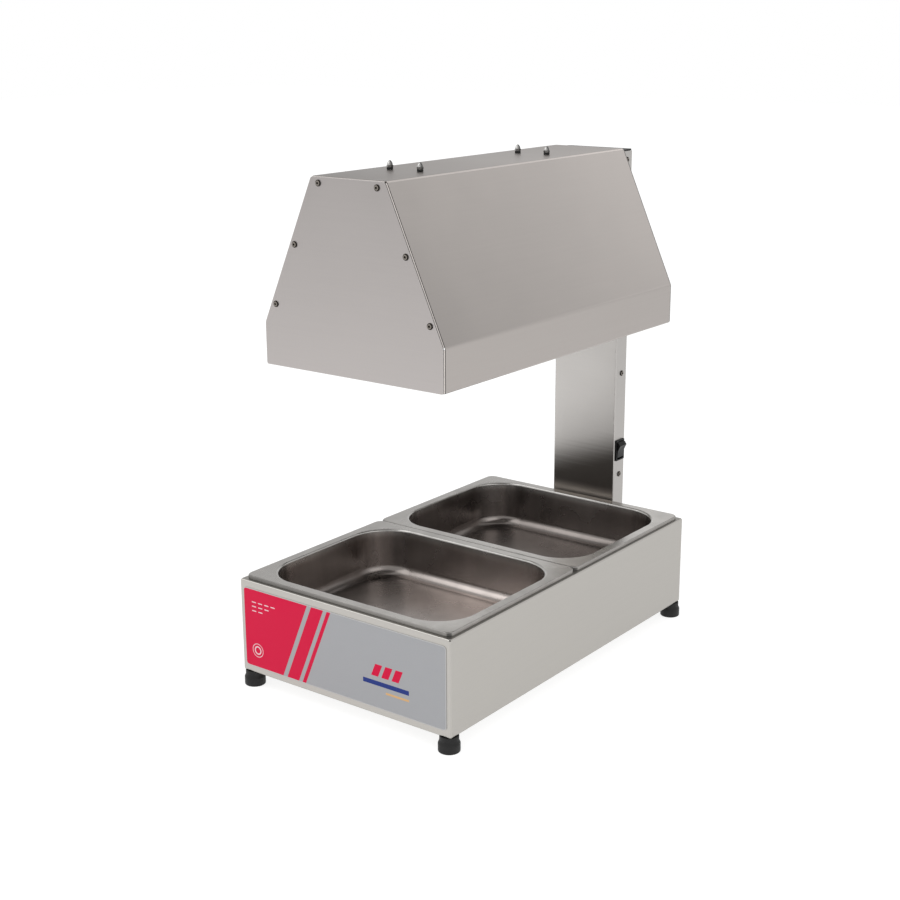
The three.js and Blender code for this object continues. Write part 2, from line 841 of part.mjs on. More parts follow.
// A hairpin of sheathed tube, its bend at the front and its two terminal pins at the rear
function heatingElement() {
  const legEnd = hoodLength - elementEndInset;
  const turn = elementTurnInset + elementLegSpread;
  const bend = new THREE.EllipseCurve(0, turn, elementLegSpread, elementLegSpread, Math.PI, 2 * Math.PI);
  const bendPath = new THREE.CatmullRomCurve3(
    bend.getPoints(2 * cornerSteps).map((p) => new THREE.Vector3(p.x, p.y, elementHeight)),
  );
  const legs = [-elementLegSpread, elementLegSpread].flatMap((x) => [
    solid(rodY(elementRadius, legEnd - turn + bite, tubeSides).translate(x, turn - bite, elementHeight)),
    solid(rodY(pinRadius, pinLength + bite, tubeSides).translate(x, legEnd - bite, elementHeight)),
  ]);
  return join(solid(tube(bendPath, elementRadius, 2 * cornerSteps)), ...legs);
}

// A ceramic bead round a terminal pin, along +Y
function terminalInsulator() {
  const bore = pinRadius + fit;
  return solid(
    turned(
      [
        [bore, 0],
        [insulatorRadius, 0],
        [insulatorRadius, insulatorFlange],
        [insulatorNeckRadius, insulatorFlange],
        [insulatorNeckRadius, insulatorLength],
        [bore, insulatorLength],
        [bore, 0],
      ],
      smallSides,
    ).rotateX(-Math.PI / 2),
  );
}

const terminals = [
  ["left", -elementLegSpread],
  ["right", elementLegSpread],
];

const hood = groupAt(
  0,
  hoodSetback,
  hoodBottom,
  groupAt(0, shellFront, 0, piece("hood_shell", hoodShell(), steel)),
  piece("hood_front_panel", endPanel(frontRivets), steel),
  piece("hood_rear_panel", rearPanel().mirror([0, 1, 0]).translate([0, hoodLength, 0]), steel),
  ...frontRivets.map(([x, z], i) =>
    groupAt(x, 0, z, piece(`hood_front_rivet_${i + 1}`, rivet(hoodGrip), rivetSteel)),
  ),
  ...rearRivets.map(([x, z], i) => {
    const turnedRound = rivet(hoodGrip).mirror([0, 1, 0]);
    return groupAt(x, hoodLength, z, piece(`hood_rear_rivet_${i + 1}`, turnedRound, rivetSteel));
  }),
  ...capNutPlaces.map(([x, y], i) =>
    groupAt(
      x,
      y,
      hoodHeight + fit,
      piece(`seal_washer_${i + 1}`, sealWasher(), rubber),
      groupAt(0, 0, sealHeight + fit, piece(`cap_nut_${i + 1}`, capNut(), brightSteel)),
    ),
  ),
  ...bracketRows.map((y, i) =>
    groupAt(0, y, 0, piece(`element_bracket_${["front", "rear"][i]}`, elementBracket(), brightSteel)),
  ),
  piece("reflector", reflector(), brightSteel),
  piece("heating_element", heatingElement(), sheathSteel),
  ...terminals.map(([side, x]) =>
    groupAt(
      x,
      hoodLength - elementEndInset + fit,
      elementHeight,
      piece(`terminal_insulator_${side}`, terminalInsulator(), ceramic),
    ),
  ),
);

// Column

const switchHeightAbove = baseTop + switchAboveBase - columnBottom;
const highestRivet = columnHeight - columnRivetTop;
const lowestRivet = baseTop + columnRivetLow - columnBottom;
const columnRivetHeights = Array.from(
  { length: columnRivetRows },
  (_, row) => highestRivet - ((highestRivet - lowestRivet) * row) / (columnRivetRows - 1),
);
const coverWidth = columnWidth - 2 * (sheet + fit);

// The opening for the switch's body through one side of the column
function switchCutout() {
  return solid(
    block(columnWidth, switchBodyWidth + 2 * fit, switchBodyHeight + 2 * fit).translate(
      columnWidth - switchBodyDepth,
      columnDepth / 2,
      switchHeightAbove - switchBodyHeight / 2 - fit,
    ),
  );
}

function sideRivetHoles() {
  return columnRivetHeights.map((z) =>
    solid(
      rodX(rivetRadius + fit, columnWidth + 2 * overrun).translate(
        -columnWidth / 2 - overrun,
        columnRivetSetback,
        z,
      ),
    ),
  );
}

// The front channel. Its headed studs hang in the base's keyholes, and its threaded ones carry the hood.
function columnChannel() {
  const outline = [
    [-columnWidth / 2, 0],
    [columnWidth / 2, 0],
    [columnWidth / 2, columnDepth, 0],
    [-columnWidth / 2, columnDepth, 0],
  ];
  const outer = solid(alongZ(roundedPolygon(outline, bendRadius), columnHeight));
  const hollow = solid(
    block(columnWidth - 2 * sheet, columnDepth, columnHeight + 2 * overrun).translate(
      0,
      columnDepth / 2 + sheet,
      -overrun,
    ),
  );
  const wallBack = fit + sheet + fit;
  const headReach = wallBack + studHeadHeight;
  const studReach = wallBack + hoodNutHeight + columnStudEnd;
  const headedStuds = columnStuds.map(([x, z]) =>
    join(
      solid(rodY(columnStudRadius, headReach + bite).translate(x, -headReach, z - columnBottom)),
      solid(rodY(studHeadRadius, studHeadHeight).translate(x, -headReach, z - columnBottom)),
    ),
  );
  const threadedStuds = hoodStuds.map(([x, z]) =>
    solid(rodY(columnStudRadius, studReach + bite).translate(x, -studReach, z - columnBottom)),
  );
  const passHeight = hoodTop - loomBelowTop - columnBottom;
  const loomPass = solid(
    rodY(loomRadius + loomClearance, sheet + 2 * overrun).translate(0, -overrun, passHeight),
  );
  const channel = cut(outer, hollow, switchCutout(), loomPass, ...sideRivetHoles());
  return join(channel, ...headedStuds, ...threadedStuds);
}

// The rear cover, nested in the channel by its two side flanges
function columnCover() {
  const outline = [
    [-coverWidth / 2, columnDepth - coverFlange, 0],
    [coverWidth / 2, columnDepth - coverFlange, 0],
    [coverWidth / 2, columnDepth],
    [-coverWidth / 2, columnDepth],
  ];
  const outer = solid(alongZ(roundedPolygon(outline, bendRadius), columnHeight));
  const hollow = solid(
    block(coverWidth - 2 * sheet, coverFlange, columnHeight + 2 * overrun).translate(
      0,
      columnDepth - sheet - coverFlange / 2,
      -overrun,
    ),
  );
  const glandHole = solid(
    rodY(glandThreadRadius + fit, sheet + 2 * overrun, roundSides).translate(
      0,
      columnDepth - sheet - overrun,
      glandAboveFoot,
    ),
  );
  return cut(outer, hollow, glandHole, switchCutout(), ...sideRivetHoles());
}

// A plastic cap on the column's open end, with a hollow spigot inside it
function columnCap() {
  const lid = solid(
    alongZ(
      roundedRectangle(columnWidth, columnDepth, bendRadius),
      capThickness,
      capEdge,
    ).translate(0, columnDepth / 2, 0),
  );
  const width = coverWidth - 2 * (sheet + fit);
  const depth = columnDepth - 2 * (sheet + fit);
  const spigot = block(width, depth, capSpigot + bite);
  const hollow = block(width - 2 * capWall, depth - 2 * capWall, capSpigot + overrun);
  const ring = cut(solid(spigot), solid(hollow.translate(0, 0, -overrun)));
  return join(lid, ring.translate([0, columnDepth / 2, -capSpigot]));
}

// A nut for one of the hood's studs, on the inside of the hood's rear panel
function hoodNut() {
  const bore = rodY(columnStudRadius + fit, hoodNutHeight + 2 * overrun).translate(0, -overrun, 0);
  return cut(solid(rodY(hoodNutRadius, hoodNutHeight, 6)), solid(bore));
}

// Switch. x = 0 is the column's side face, and y = z = 0 the middle of the switch.
const rockerHalf = switchHeight / 2 - switchRim - rockerGap;
const rockerWidth = switchWidth - 2 * (switchRim + rockerGap);
const rockerAxis = fit + switchProud - rockerAxisDepth;

function switchHousing() {
  const bezel = alongX(
    roundedRectangle(switchWidth, switchHeight, switchCorner),
    switchProud,
    switchEdge,
  ).translate(fit, 0, 0);
  const body = alongX(
    roundedRectangle(switchBodyWidth, switchBodyHeight, switchCorner),
    switchBodyDepth + fit + bite,
  ).translate(-switchBodyDepth, 0, 0);
  const well = alongX(
    roundedRectangle(switchWidth - 2 * switchRim, switchHeight - 2 * switchRim, switchEdge),
    switchWellDepth + overrun,
  ).translate(fit + switchProud - switchWellDepth, 0, 0);
  const socketLength = rockerWidth + 2 * (rockerPinLength + rockerGap);
  const sockets = rodY(rockerPinRadius + rockerPinClearance, socketLength).translate(
    rockerAxis,
    -socketLength / 2,
    0,
  );
  return cut(join(solid(bezel), solid(body)), solid(well), solid(sockets));
}

// The rocker and its two pins, turned about its own Y axis so that its upper end stands out
function switchRocker() {
  const shoulder = Math.acos(rockerShoulder / rockerHalf);
  const heel = Math.acos(-rockerBack / rockerHalf);
  const end = arcPoints(0, 0, rockerHalf, shoulder, heel, bendSteps);
  const upper = [[rockerNoseReach, rockerNoseHeight], ...end];
  const lower = upper.map(([x, z]) => [x, -z]).reverse();
  const profile = [[rockerMiddleReach, 0], ...upper, ...lower];
  const shape = new THREE.Shape(profile.map(([x, z]) => new THREE.Vector2(x, z)));
  const key = alongY(shape, rockerWidth).translate(0, -rockerWidth / 2, 0);
  const pinSpan = rockerWidth + 2 * rockerPinLength;
  const pins = rodY(rockerPinRadius, pinSpan).translate(0, -pinSpan / 2, 0);
  return join(solid(key), solid(pins)).rotate([0, rockerTilt, 0]);
}

// Cable gland on the column's cover, along +Y from the cover's face
function glandBody() {
  const inside = sheet + glandInside;
  const length = inside + fit + glandHexLength;
  const hex = rodY(glandHexRadius, glandHexLength, 6).translate(0, fit, 0);
  const thread = rodY(glandThreadRadius, length, roundSides).translate(0, -inside, 0);
  const locknutBack = sheet + fit + glandLocknutLength;
  const locknut = rodY(glandLocknutRadius, glandLocknutLength, 6).translate(0, -locknutBack, 0);
  const bore = rodY(glandBore, length + 2 * overrun, roundSides).translate(0, -inside - overrun, 0);
  return cut(join(solid(hex), solid(thread), solid(locknut)), solid(bore));
}

function glandDome() {
  const body = solid(
    turned([
      [glandBore, 0],
      [glandDomeRadius, 0],
      [glandDomeRadius, glandDomeSkirt],
      [glandMouthRadius, glandDomeLength],
      [glandBore, glandDomeLength],
      [glandBore, 0],
    ]).rotateX(-Math.PI / 2),
  );
  const reach = glandDomeRadius + glandGrooveRadius - glandGrooveDepth;
  const grooves = Array.from({ length: glandGrooves }, (_, i) => {
    const angle = (2 * Math.PI * i) / glandGrooves;
    const groove = rodY(glandGrooveRadius, glandDomeLength + 2 * overrun, fewSides);
    return solid(groove.translate(reach * Math.cos(angle), -overrun, reach * Math.sin(angle)));
  });
  return cut(body, ...grooves);
}

// The loom: from above the gland up the column, through the hood's rear panel, then to the two terminals.
// Its points are in the column's frame, where y = 0 is the column's front face.
function wiringLoom() {
  const passHeight = hoodTop - loomBelowTop - columnBottom;
  const bendStart = passHeight - loomBend;
  const pinEnd = hoodSetback + hoodLength - elementEndInset + pinLength + fit - columnFront;
  const pinHeight = hoodBottom + elementHeight - columnBottom;
  const quarter = new THREE.EllipseCurve(0, bendStart, loomBend, loomBend, 0, Math.PI / 2);
  const bend = new THREE.CatmullRomCurve3(
    quarter.getPoints(cornerSteps).map((place) => new THREE.Vector3(0, place.x, place.y)),
  );
  const riser = rodZ(loomRadius, bendStart + bite - loomStart, tubeSides).translate(0, loomBend, loomStart);
  const runLength = loomForkSetback + bite;
  const run = rodY(loomRadius, runLength, tubeSides).translate(0, -loomForkSetback, passHeight);
  const leads = terminals.map(([, x]) => {
    const places = [
      [Math.sign(x) * bite, -loomForkSetback + leadRadius, passHeight],
      [Math.sign(x) * loomForkSpread, -loomForkSetback, passHeight + loomForkRise],
      [x, -loomForkSetback, pinHeight],
      [x, pinEnd, pinHeight],
    ].map((place) => new THREE.Vector3(...place));
    const lead = new THREE.CatmullRomCurve3(places, false, "centripetal");
    return solid(tube(lead, leadRadius, 2 * cornerSteps));
  });
  return join(solid(riser), solid(tube(bend, loomRadius, cornerSteps)), solid(run), ...leads);
}

const column = groupAt(
  0,
  columnFront,
  columnBottom,
  piece("column_channel", columnChannel(), steel),
  piece("column_cover", columnCover(), steel),
  groupAt(0, 0, columnHeight + fit, piece("column_cap", columnCap(), blackPlastic)),
  ...columnRivetHeights.flatMap((z, row) =>
    [
      ["left", -1],
      ["right", 1],
    ].map(([name, side]) => {
      const body = rivet(2 * sheet + fit).rotate([0, 0, side * 90]);
      return groupAt(
        (side * columnWidth) / 2,
        columnRivetSetback,
        z,
        piece(`column_rivet_${name}_${row + 1}`, body, rivetSteel),
      );
    }),
  ),
  ...hoodStuds.map(([x, z], i) =>
    groupAt(
      x,
      -2 * fit - sheet - hoodNutHeight,
      z - columnBottom,
      piece(`hood_nut_${i + 1}`, hoodNut(), brightSteel),
    ),
  ),
  groupAt(
    columnWidth / 2,
    columnDepth / 2,
    switchHeightAbove,
    piece("switch_housing", switchHousing(), blackPlastic),
  ),
  groupAt(
    columnWidth / 2 + rockerAxis,
    columnDepth / 2,
    switchHeightAbove,
    piece("switch_rocker", switchRocker(), blackPlastic),
  ),
  groupAt(
    0,
    columnDepth,
    glandAboveFoot,
    piece("gland_body", glandBody(), blackPlastic),
    groupAt(0, glandHexLength + 2 * fit, 0, piece("gland_dome", glandDome(), blackPlastic)),
  ),
  piece("wiring_loom", wiringLoom(), sleeve),
);

const warmer = groupAt(0, -(footprintFront + footprintBack) / 2, 0, base, ...pans, hood, column);

export default warmer;
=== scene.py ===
"""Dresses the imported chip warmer: finer pieces round the CAD frame, finishes, the studio and the camera.

Lengths are metres. +X is the user's right, +Y runs from the front to the column and +Z is up.
"""

import logging
import math
from collections.abc import Callable, Iterator, Mapping
from contextlib import contextmanager
from dataclasses import dataclass
from enum import Enum
from functools import partial, reduce

import bmesh
import bpy
from mathutils import Matrix, Vector


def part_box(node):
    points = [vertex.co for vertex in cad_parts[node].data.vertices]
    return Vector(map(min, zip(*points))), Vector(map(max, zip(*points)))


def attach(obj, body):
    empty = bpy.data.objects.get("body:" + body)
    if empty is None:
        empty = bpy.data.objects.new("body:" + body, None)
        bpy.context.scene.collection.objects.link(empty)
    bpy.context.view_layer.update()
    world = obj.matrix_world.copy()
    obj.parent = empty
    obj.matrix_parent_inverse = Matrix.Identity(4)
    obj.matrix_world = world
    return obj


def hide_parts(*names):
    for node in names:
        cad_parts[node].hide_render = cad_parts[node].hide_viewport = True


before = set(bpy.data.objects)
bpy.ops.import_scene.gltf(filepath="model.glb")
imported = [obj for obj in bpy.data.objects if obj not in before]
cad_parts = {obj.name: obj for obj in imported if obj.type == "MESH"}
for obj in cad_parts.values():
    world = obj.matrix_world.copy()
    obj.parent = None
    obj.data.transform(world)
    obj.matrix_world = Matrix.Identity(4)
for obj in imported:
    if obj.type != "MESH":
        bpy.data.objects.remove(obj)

log = logging.getLogger("chip_warmer")

MM = 0.001
WELD = 0.001 * MM
NEAR = 0.05 * MM
SHARP = math.radians(60)
FLAT = math.radians(0.5)
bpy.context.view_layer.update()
NO_SHIFT = Vector((0, 0, 0))
WHITE = (1.0, 1.0, 1.0, 1.0)

Pair = tuple[float, float]
Triple = tuple[float, float, float]
Colour = tuple[float, float, float, float]
Screen = tuple[int, int, int]
Profile = tuple[Pair, ...]
Test = Callable[..., bool]
Edge = bmesh.types.BMEdge
Piece = bpy.types.Object
Material = bpy.types.Material
Node = bpy.types.Node
Socket = bpy.types.NodeSocket
Sockets = Mapping[str, Socket]


class Body(Enum):
    """The moving bodies that a piece can ride on."""

    CABINET = "cabinet"
    FRONT_PAN = "front_pan"
    REAR_PAN = "rear_pan"
    ROCKER = "rocker"


class Way(Enum):
    """Turns from +Z to the way that a turned piece points."""

    UP = Matrix.Identity(4)
    FRONT = Matrix.Rotation(math.radians(90), 4, "X")
    REAR = Matrix.Rotation(math.radians(-90), 4, "X")
    RIGHT = Matrix.Rotation(math.radians(90), 4, "Y")
    LEFT = Matrix.Rotation(math.radians(-90), 4, "Y")

    @property
    def out(self) -> Vector:
        """The direction itself."""
        return self.value.to_3x3() @ Vector((0, 0, 1))


# Bench: the ways in which pieces are made


def clear_bench() -> None:
    """Leave edit mode and select nothing, so that an operator acts on one new piece alone."""
    if bpy.context.object and bpy.context.object.mode != "OBJECT":
        bpy.ops.object.mode_set(mode="OBJECT")
    bpy.ops.object.select_all(action="DESELECT")


def take(piece: Piece) -> None:
    """Make one piece the only selected one and the active one."""
    clear_bench()
    piece.select_set(True)
    bpy.context.view_layer.objects.active = piece


@contextmanager
def shaping(piece: Piece, kind: str = "VERT") -> Iterator[None]:
    """Edit mode on one piece, all of it selected as FACE, EDGE or VERT, and left again at the end."""
    take(piece)
    bpy.ops.object.mode_set(mode="EDIT")
    bpy.ops.mesh.select_mode(type=kind)
    bpy.ops.mesh.select_all(action="SELECT")
    yield
    bpy.ops.object.mode_set(mode="OBJECT")


def pick(piece: Piece, kind: str, test: Test) -> None:
    """Select by place or direction in edit mode.

    Args:
        piece: The piece being shaped.
        kind: FACE or EDGE.
        test: Says of each face or edge whether it is selected.
    """
    bpy.ops.mesh.select_mode(type=kind)
    bpy.ops.mesh.select_all(action="DESELECT")
    mesh = bmesh.from_edit_mesh(piece.data)
    mesh.normal_update()
    parts = mesh.faces if kind == "FACE" else mesh.edges
    for part in [part for part in parts if test(part)]:
        part.select_set(True)
    bmesh.update_edit_mesh(piece.data)


def pull(x: float = 0, y: float = 0, z: float = 0, loose: bool = False) -> None:
    """Extrude what is selected in edit mode by a shift, as loose edges or as a region."""
    shift = {"value": (x, y, z)}
    if loose:
        bpy.ops.mesh.extrude_edges_move(TRANSFORM_OT_translate=shift)
    else:
        bpy.ops.mesh.extrude_region_move(TRANSFORM_OT_translate=shift)


def round_off(piece: Piece, test: Test, width: float, steps: int, clamp: bool = False) -> None:
    """Round the edges that pass a test, in edit mode."""
    pick(piece, "EDGE", test)
    bpy.ops.mesh.bevel(offset=width, segments=steps, affect="EDGES", clamp_overlap=clamp)


def close_up(weld: float = 0.0) -> None:
    """Point every face outwards in edit mode, with the corners within a weld distance merged first."""
    bpy.ops.mesh.select_all(action="SELECT")
    if weld:
        bpy.ops.mesh.remove_doubles(threshold=weld)
    bpy.ops.mesh.normals_make_consistent(inside=False)


def middle(edge: Edge) -> Vector:
    """The middle of an edge."""
    return (edge.verts[0].co + edge.verts[1].co) / 2


def runs(edge: Edge, axis: int) -> bool:
    """Whether an edge runs along an axis."""
    way = (edge.verts[1].co - edge.verts[0].co).normalized()
    return abs(way[axis]) > 0.999


def near(value: float, place: float) -> bool:
    """Whether a value is at a place."""
    return abs(value - place) < NEAR


def seat(node: str, way: Way = Way.UP, end: int = -1) -> Vector:
    """The middle of an end of a CAD node's box.

    Args:
        node: The CAD node.
        way: The way along which the box is taken.
        end: -1 for its foot, 1 for its head.

    Returns:
        The place.
    """
    low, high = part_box(node)
    return (low + high) / 2 + way.out * (end * abs((high - low).dot(way.out)) / 2)


def settle(piece: Piece) -> None:
    """Put a piece's place, turn and scale into its mesh."""
    take(piece)
    bpy.ops.object.transform_apply(location=True, rotation=True, scale=True)


def started(name: str) -> Piece:
    """The piece that an operator has just added, named and settled."""
    piece = bpy.context.object
    piece.name = name
    settle(piece)
    return piece


def block(name: str, low: Vector, high: Vector) -> Piece:
    """A box between two corners, the start of a folded or moulded piece."""
    clear_bench()
    bpy.ops.mesh.primitive_cube_add(size=1, location=(low + high) / 2, scale=high - low)
    return started(name)


def turned(
    name: str,
    place: Vector,
    profile: Profile,
    way: Way = Way.UP,
    sides: int = 32,
    ring: bool = False,
    smooth: float = 0.0,
) -> Piece:
    """A piece turned on its axis by extruding a circle step by step.

    Args:
        name: The piece's name.
        place: Where the profile's zero height stands.
        profile: Pairs of radius and height, in millimetres, from one end to the other.
        way: Where the axis points.
        sides: Sides of the circle.
        ring: Whether the profile closes on itself round a bore.
        smooth: The angle, in degrees, below which it is shaded smooth. 0 leaves it as it is.

    Returns:
        The closed piece.
    """
    clear_bench()
    radius, height = profile[0]
    fill = "NOTHING" if ring else "NGON"
    foot = (0, 0, height * MM)
    bpy.ops.mesh.primitive_circle_add(vertices=sides, radius=radius * MM, fill_type=fill, location=foot)
    piece = started(name)
    with shaping(piece, "EDGE" if ring else "FACE"):
        for next_radius, next_height in profile[1:] + (profile[:1] if ring else ()):
            pull(z=(next_height - height) * MM, loose=ring)
            scale = next_radius / radius
            bpy.ops.transform.resize(value=(scale, scale, 1), center_override=(0, 0, 0))
            radius, height = next_radius, next_height
        close_up(weld=0.5 * WELD)
    piece.matrix_world = Matrix.Translation(place) @ way.value
    settle(piece)
    if smooth:
        smoothed(piece, smooth)
    return piece


def modify(piece: Piece, kind: str, **settings: object) -> None:
    """Give a piece a modifier with its settings, and apply it."""
    take(piece)
    modifier = piece.modifiers.new(kind, kind)
    for name, value in settings.items():
        setattr(modifier, name, value)
    bpy.ops.object.modifier_apply(modifier=modifier.name)


def rounded(piece: Piece, width: float, steps: int) -> None:
    """Round every sharp edge."""
    limit = {"limit_method": "ANGLE", "angle_limit": SHARP}
    modify(piece, "BEVEL", width=width, segments=steps, harden_normals=False, **limit)


def combined(piece: Piece, tool: Piece, how: str = "DIFFERENCE") -> None:
    """Cut a tool shape out of a piece, or join it on, and clear the tool away."""
    modify(piece, "BOOLEAN", operation=how, solver="EXACT", object=tool)
    bpy.data.objects.remove(tool)


def smoothed(piece: Piece, angle: float = 40) -> None:
    """Shade a piece smooth below an angle, in degrees, its flats kept flat by weighted normals."""
    take(piece)
    bpy.ops.object.shade_smooth_by_angle(angle=math.radians(angle))
    modify(piece, "WEIGHTED_NORMAL", keep_sharp=True)


def copied(piece: Piece, name: str, shift: Vector) -> Piece:
    """A copy of a piece with its own mesh, moved by a shift."""
    copy = piece.copy()
    copy.data = piece.data.copy()
    copy.name = name
    bpy.context.scene.collection.objects.link(copy)
    copy.data.transform(Matrix.Translation(shift))
    return copy


def added(name: str, data: bpy.types.ID) -> Piece:
    """A new object of the scene that shows a mesh, a lamp or a camera."""
    piece = bpy.data.objects.new(name, data)
    bpy.context.scene.collection.objects.link(piece)
    return piece


def folded(node: str, name: str, edge: float = 0.2 * MM, steps: int = 2) -> Piece:
    """A finer dress of a folded or pressed CAD node.

    Its triangles are merged into whole faces, its sheared edges are broken and its bends run smooth.

    Args:
        node: The CAD node.
        name: The new piece's name.
        edge: Width of the broken edges.
        steps: Steps of the broken edges.

    Returns:
        The new piece.
    """
    piece = added(name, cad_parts[node].data.copy())
    piece.data.materials.clear()
    with shaping(piece):
        bpy.ops.mesh.remove_doubles(threshold=2 * WELD)
        if piece.data.has_custom_normals:
            bpy.ops.mesh.customdata_custom_splitnormals_clear()
        bpy.ops.mesh.dissolve_limited(angle_limit=FLAT)
    if edge:
        rounded(piece, edge, steps)
    smoothed(piece, 50)
    return piece


# Finishes


class Tree:
    """Adds and links the nodes of one shader or group."""

    def __init__(self, tree: bpy.types.NodeTree) -> None:
        """Keep the tree that nodes are added to."""
        self.tree = tree

    def add(self, kind: str, inputs: dict[str | int, object] | None = None, **settings: object) -> Node:
        """A new shader node with its settings made, and its inputs fed by name or number."""
        node = self.tree.nodes.new(f"ShaderNode{kind}")
        for name, value in settings.items():
            setattr(node, name, value)
        for name, value in (inputs or {}).items():
            self.feed(node.inputs[name], value)
        return node

    def feed(self, target: Socket, value: object) -> None:
        """Link a socket to another one, or give it a plain value."""
        if isinstance(value, Socket):
            self.tree.links.new(value, target)
        else:
            target.default_value = value

    def shade(self, kind: str, *values: object) -> Socket:
        """The output of a shader node whose first inputs are fed in order."""
        return self.add(kind, dict(enumerate(values))).outputs[0]

    def math(self, operation: str, *values: object) -> Socket:
        """The result of a Math node."""
        return self.add("Math", dict(enumerate(values)), operation=operation).outputs[0]

    def times(self, *values: object) -> Socket:
        """The product of several values."""
        return reduce(partial(self.math, "MULTIPLY"), values)

    def line(self, value: object, slope: object, base: object) -> Socket:
        """A value times a slope, plus a base."""
        return self.math("MULTIPLY_ADD", value, slope, base)

    def tint(self, mask: object, tone: float) -> Socket:
        """A tone inside a mask, and 1 outside it."""
        return self.line(mask, tone - 1.0, 1.0)

    def vector(self, operation: str, *values: object) -> Socket:
        """The result of a Vector Math node."""
        node = self.add("VectorMath", dict(enumerate(values)), operation=operation)
        return node.outputs["Value" if operation == "DOT_PRODUCT" else "Vector"]

    def parts(self, vector: object) -> Sockets:
        """The parts of a vector by axis."""
        return self.add("SeparateXYZ", {0: vector}).outputs

    def normal(self) -> Socket:
        """The way that the surface looks."""
        return self.add("NewGeometry").outputs["Normal"]

    def facing(self) -> Sockets:
        """The parts of the surface's normal by axis."""
        return self.parts(self.normal())

    def noise(self, vector: object, scale: float, detail: float = 3) -> Socket:
        """The value of a Noise node, about 0.5."""
        inputs = {"Vector": vector, "Scale": scale, "Detail": detail}
        return self.add("TexNoise", inputs).outputs["Fac"]

    def spread(self, value: object, low: float, high: float, start: float = 0.0, end: float = 1.0) -> Socket:
        """A value between two limits mapped smoothly to a start and an end."""
        inputs = {"Value": value, "From Min": low, "From Max": high, "To Min": start, "To Max": end}
        return self.add("MapRange", inputs, interpolation_type="SMOOTHSTEP").outputs["Result"]

    def blend(self, factor: object, first: object, second: object) -> Socket:
        """A colour between two, by a factor."""
        return self.add("Mix", {0: factor, 6: first, 7: second}, data_type="RGBA").outputs[2]

    def toned(self, colour: object, *tones: object) -> Socket:
        """A colour multiplied by one tone after another."""
        for tone in tones:
            plain = colour[:3] if isinstance(colour, tuple) else colour
            colour = self.add("VectorMath", {0: plain, "Scale": tone}, operation="SCALE").outputs[0]
        return colour

    def bump(self, height: object, depth: float, strength: float) -> Socket:
        """A normal raised by a height, whose depth is in millimetres."""
        return self.add("Bump", {"Height": height, "Distance": depth * MM, "Strength": strength}).outputs[0]

    def effect(self, group: bpy.types.NodeTree, **values: object) -> Sockets:
        """Place an effect's group with its values, and return its outputs by name."""
        inputs = {name.capitalize(): value for name, value in values.items()}
        return self.add("Group", inputs, node_tree=group).outputs


def effect_group(name: str, inputs: dict[str, object], outputs: list[str]) -> tuple[Tree, Sockets, Sockets]:
    """A new node group with named inputs and float outputs.

    Args:
        name: The group's name.
        inputs: Defaults by input name. A tuple makes a vector socket.
        outputs: Names of the outputs.

    Returns:
        A Tree of the group, the sockets that it is given and those that it ends in.
    """
    group = bpy.data.node_groups.new(name, "ShaderNodeTree")
    for label, default in inputs.items():
        kind = "NodeSocketVector" if isinstance(default, tuple) else "NodeSocketFloat"
        group.interface.new_socket(name=label, in_out="INPUT", socket_type=kind).default_value = default
    for label in outputs:
        group.interface.new_socket(name=label, in_out="OUTPUT", socket_type="NodeSocketFloat")
    given, end = group.nodes.new("NodeGroupInput"), group.nodes.new("NodeGroupOutput")
    return Tree(group), given.outputs, end.inputs


class Effects:
    """The node groups that finishes share: rolled grain, edge wear with a painted highlight, and handling
    smudges.
    """

    def __init__(self) -> None:
        """Build each group once."""
        self.grain = self._grain()
        self.wear = self._wear_and_sheen()
        self.smudge = self._smudge()

    def _grain(self) -> bpy.types.NodeTree:
        """Fine lines along Y, and along X on faces that look along Y; outputs tone and height."""
        inputs = {"Vector": (0.0, 0.0, 0.0), "Strength": 0.05}
        tree, given, end = effect_group("Rolled grain", inputs, ["Tone", "Height"])
        across = tree.math("GREATER_THAN", tree.math("ABSOLUTE", tree.facing()["Y"]), 0.7)
        lines = []
        for fine, long in ((1500.0, 14.0), (260.0, 5.0)):
            along_y, along_x = (
                tree.noise(tree.vector("MULTIPLY", given["Vector"], scale), 1.0)
                for scale in ((fine, long, fine), (long, fine, fine))
            )
            lines.append(tree.line(tree.math("SUBTRACT", along_x, along_y), across, along_y))
        centred = tree.math("SUBTRACT", tree.line(lines[1], 0.7, lines[0]), 0.85)
        tree.feed(end["Tone"], tree.line(centred, given["Strength"], 1.0))
        tree.feed(end["Height"], lines[0])
        return tree.tree

    def _wear_and_sheen(self) -> bpy.types.NodeTree:
        """A mask of outer edges and bends, for edge wear and a painted highlight, from the difference between
        a rounded and a true normal.
        """
        tree, given, end = effect_group("Edge wear and sheen", {"Radius": 0.001, "Amount": 1.0}, ["Mask"])
        bevel = tree.add("Bevel", {"Radius": given["Radius"]}, samples=4).outputs[0]
        turn = tree.math("SUBTRACT", 1.0, tree.vector("DOT_PRODUCT", bevel, tree.normal()))
        tree.feed(end["Mask"], tree.times(tree.spread(turn, 0.01, 0.16), given["Amount"]))
        return tree.tree

    def _smudge(self) -> bpy.types.NodeTree:
        """Soft clouds where the sheet has been wiped and handled, from 0 to 1."""
        tree, given, end = effect_group("Smudges", {"Vector": (0.0, 0.0, 0.0), "Scale": 9.0}, ["Mask"])
        tree.feed(end["Mask"], tree.spread(tree.noise(given["Vector"], given["Scale"], 4), 0.36, 0.66))
        return tree.tree


EFFECTS = Effects()


def from_screen(screen: Screen) -> Colour:
    """A shader colour from a screen colour of 0 to 255."""
    shares = [level / 255 for level in screen]
    return (*(s / 12.92 if s <= 0.04045 else ((s + 0.055) / 1.055) ** 2.4 for s in shares), 1.0)


